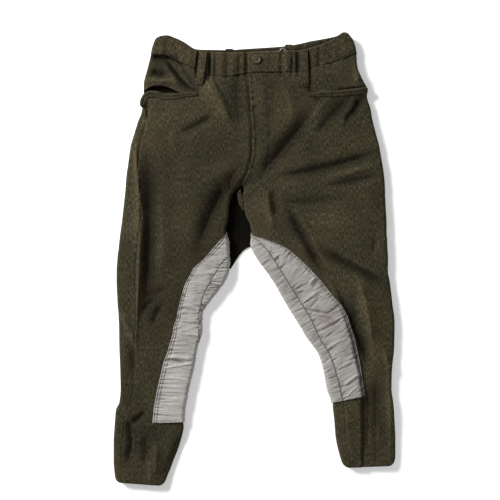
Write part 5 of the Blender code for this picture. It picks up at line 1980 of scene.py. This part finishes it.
def sew_welt(leg):
    """A line along the welt's groove, and one on the wool below the welt."""
    tree = trees[leg.name + "_pocket_welt"]
    line = resample(WELTS[leg.name], 90)
    lower = -leg.sign * sideways(line)
    groove = line[:, :2] + lower * (0.36 * line[:, 2:] / 2)
    wool_stitches.line(tree, laid(groove[6:-4], tree, 0.5), SEAMSTITCH)
    below = line[:, :2] + lower * (0.5 * line[:, 2:] + 1.8)
    sew(leg, *below[4:70].T, SEAMSTITCH)


for leg in (right, left):
    sew_band(leg)
    sew_hem(leg)
    sew_welt(leg)


def sew_loop(tree, loop):
    """A line inside each edge of a belt loop, and a bar across each end."""
    t = np.linspace(0.04, 0.96, 30)
    middle = np.stack([mix(loop.x0, loop.x1, t), mix(loop.y0, loop.y1, t)], axis=-1)
    for side in (-0.66, 0.66):
        line = middle + [side * (loop.width0 + loop.width1) / 4, 0]
        wool_stitches.line(tree, laid(line, tree, 0.3), SEAMSTITCH)
    half = loop.width1 / 2 - 1.6
    for t in BAR_AT:
        x, y = mix(loop.x0, loop.x1, t), mix(loop.y0, loop.y1, t)
        bar = laid([(x - half, y), (x + half, y)], tree, 0.3)
        wool_stitches.line(tree, bar, BARTACK)


for name, loop in LOOPS.items():
    sew_loop(trees[name], loop)

# Bars at the foot of the fly
FLY_BAR = ((-22, -12.0), (143.5, 145.0))
CURVE_BAR = [(12, 149.5), (19, 150.5)]
sew(left, *np.array(FLY_BAR), BARTACK)
wool_stitches.line(cover, laid(CURVE_BAR, cover, 1), BARTACK)

HOLE_ENDS = (10.0, 22.0)
SIDE_SPOKES = 18
END_SPOKES = 7
SIDE_THREAD = Thread(1.7, 0, 0.6, 0.55)
END_THREAD = Thread(1.8, 0, 0.6, 0.55)


def sew_buttonhole():
    """Stitches across both lips of the buttonhole, and round its far end."""
    for n in range(SIDE_SPOKES):
        x = mix(*HOLE_ENDS, (n + 0.5) / SIDE_SPOKES)
        for side in (1, -1):
            spoke = [(x, button_y + side * 0.5), (x + 0.15, button_y + side * 2.2)]
            wool_stitches.line(cover, laid(spoke, cover, 0.2), SIDE_THREAD)
    end = np.array([HOLE_ENDS[1], button_y])
    for n in range(END_SPOKES):
        a = math.pi * ((n + 0.5) / END_SPOKES - 0.5)
        out = np.array([math.cos(a), math.sin(a)])
        spoke = [end + out * (0.4, 0.5), end + out * 2.3]
        wool_stitches.line(cover, laid(spoke, cover, 0.2), END_THREAD)


sew_buttonhole()

patch_stitches.build("patch_stitching", grey_thread)
wool_stitches.build("wool_stitching", olive_thread)

BUTTON_THREAD = Thread(4.0, 0, 0.55, 0.5)
holding = Stitches()
for turn in (-0.3, 0.3):
    for side in (-1, 1):
        middle = np.array([button_x, button_y + side * HOLE_OUT * 0.7 + turn, button_z + 2.25])
        length = BUTTON_THREAD.length
        holding.stitch(middle, np.array([1.0, 0, 0]), np.array([0, 0, 1.0]), BUTTON_THREAD, length)
holding.build("button_thread", olive_thread)


# A record of what a cloth was cut to: width, length and flat area, in metres
Cut = namedtuple("Cut", "width length area")


# Floor, light and camera

FLOOR_SIZE = 40.0
FLOOR_Z = -0.0004
floor_mesh = bpy.data.meshes.new("pale_floor")
half = FLOOR_SIZE / 2
corners = [(x, y, FLOOR_Z) for x, y in ((-half, -half), (half, -half), (half, half), (-half, half))]
floor_mesh.from_pydata(corners, [], [(0, 1, 2, 3)])
floor = bpy.data.objects.new("pale_floor", floor_mesh)
bpy.context.scene.collection.objects.link(floor)
pale, tree, shader = nodes_of("pale_floor")
set_shader(tree, shader, grey(0.86), 0.9, 0.1, Emission_Color=WHITE, Emission_Strength=0.2)
floor_mesh.materials.append(pale)

world = bpy.data.worlds.new("soft_room")
bpy.context.scene.world = world
world.use_nodes = True
world.node_tree.nodes["Background"].inputs["Color"].default_value = (1, 1, 1, 1)
world.node_tree.nodes["Background"].inputs["Strength"].default_value = 0.25

Lamp = namedtuple("Lamp", "name x y z size power")

LAMPS = [
    Lamp("key_softbox", -3.3, 2.3, 2.1, 1.4, 500),
    Lamp("fill_softbox", 2.0, -0.8, 2.2, 1.6, 26),
]
for lamp in LAMPS:
    data = bpy.data.lights.new(lamp.name, "AREA")
    data.shape = "SQUARE"
    data.size = lamp.size
    data.energy = lamp.power
    thing = bpy.data.objects.new(lamp.name, data)
    bpy.context.scene.collection.objects.link(thing)
    thing.location = (lamp.x, lamp.y, lamp.z)
    thing.rotation_mode = "QUATERNION"
    thing.rotation_quaternion = (-thing.location).to_track_quat("-Z", "Y")

# The photograph looks straight down and takes in one metre
VIEW_WIDTH = 1.0
VIEW_CENTRE = (-0.009, 0.019)
CLOTH_HEIGHT = 0.018
camera_data = bpy.data.cameras.new("overhead")
camera_data.lens = 100
camera_data.sensor_width = 36
camera = bpy.data.objects.new("overhead", camera_data)
bpy.context.scene.collection.objects.link(camera)
distance = VIEW_WIDTH * camera_data.lens / camera_data.sensor_width
camera.location = (*VIEW_CENTRE, CLOTH_HEIGHT + distance)
camera_data.clip_end = 50
bpy.context.scene.camera = camera
bpy.context.scene.view_settings.view_transform = "Standard"
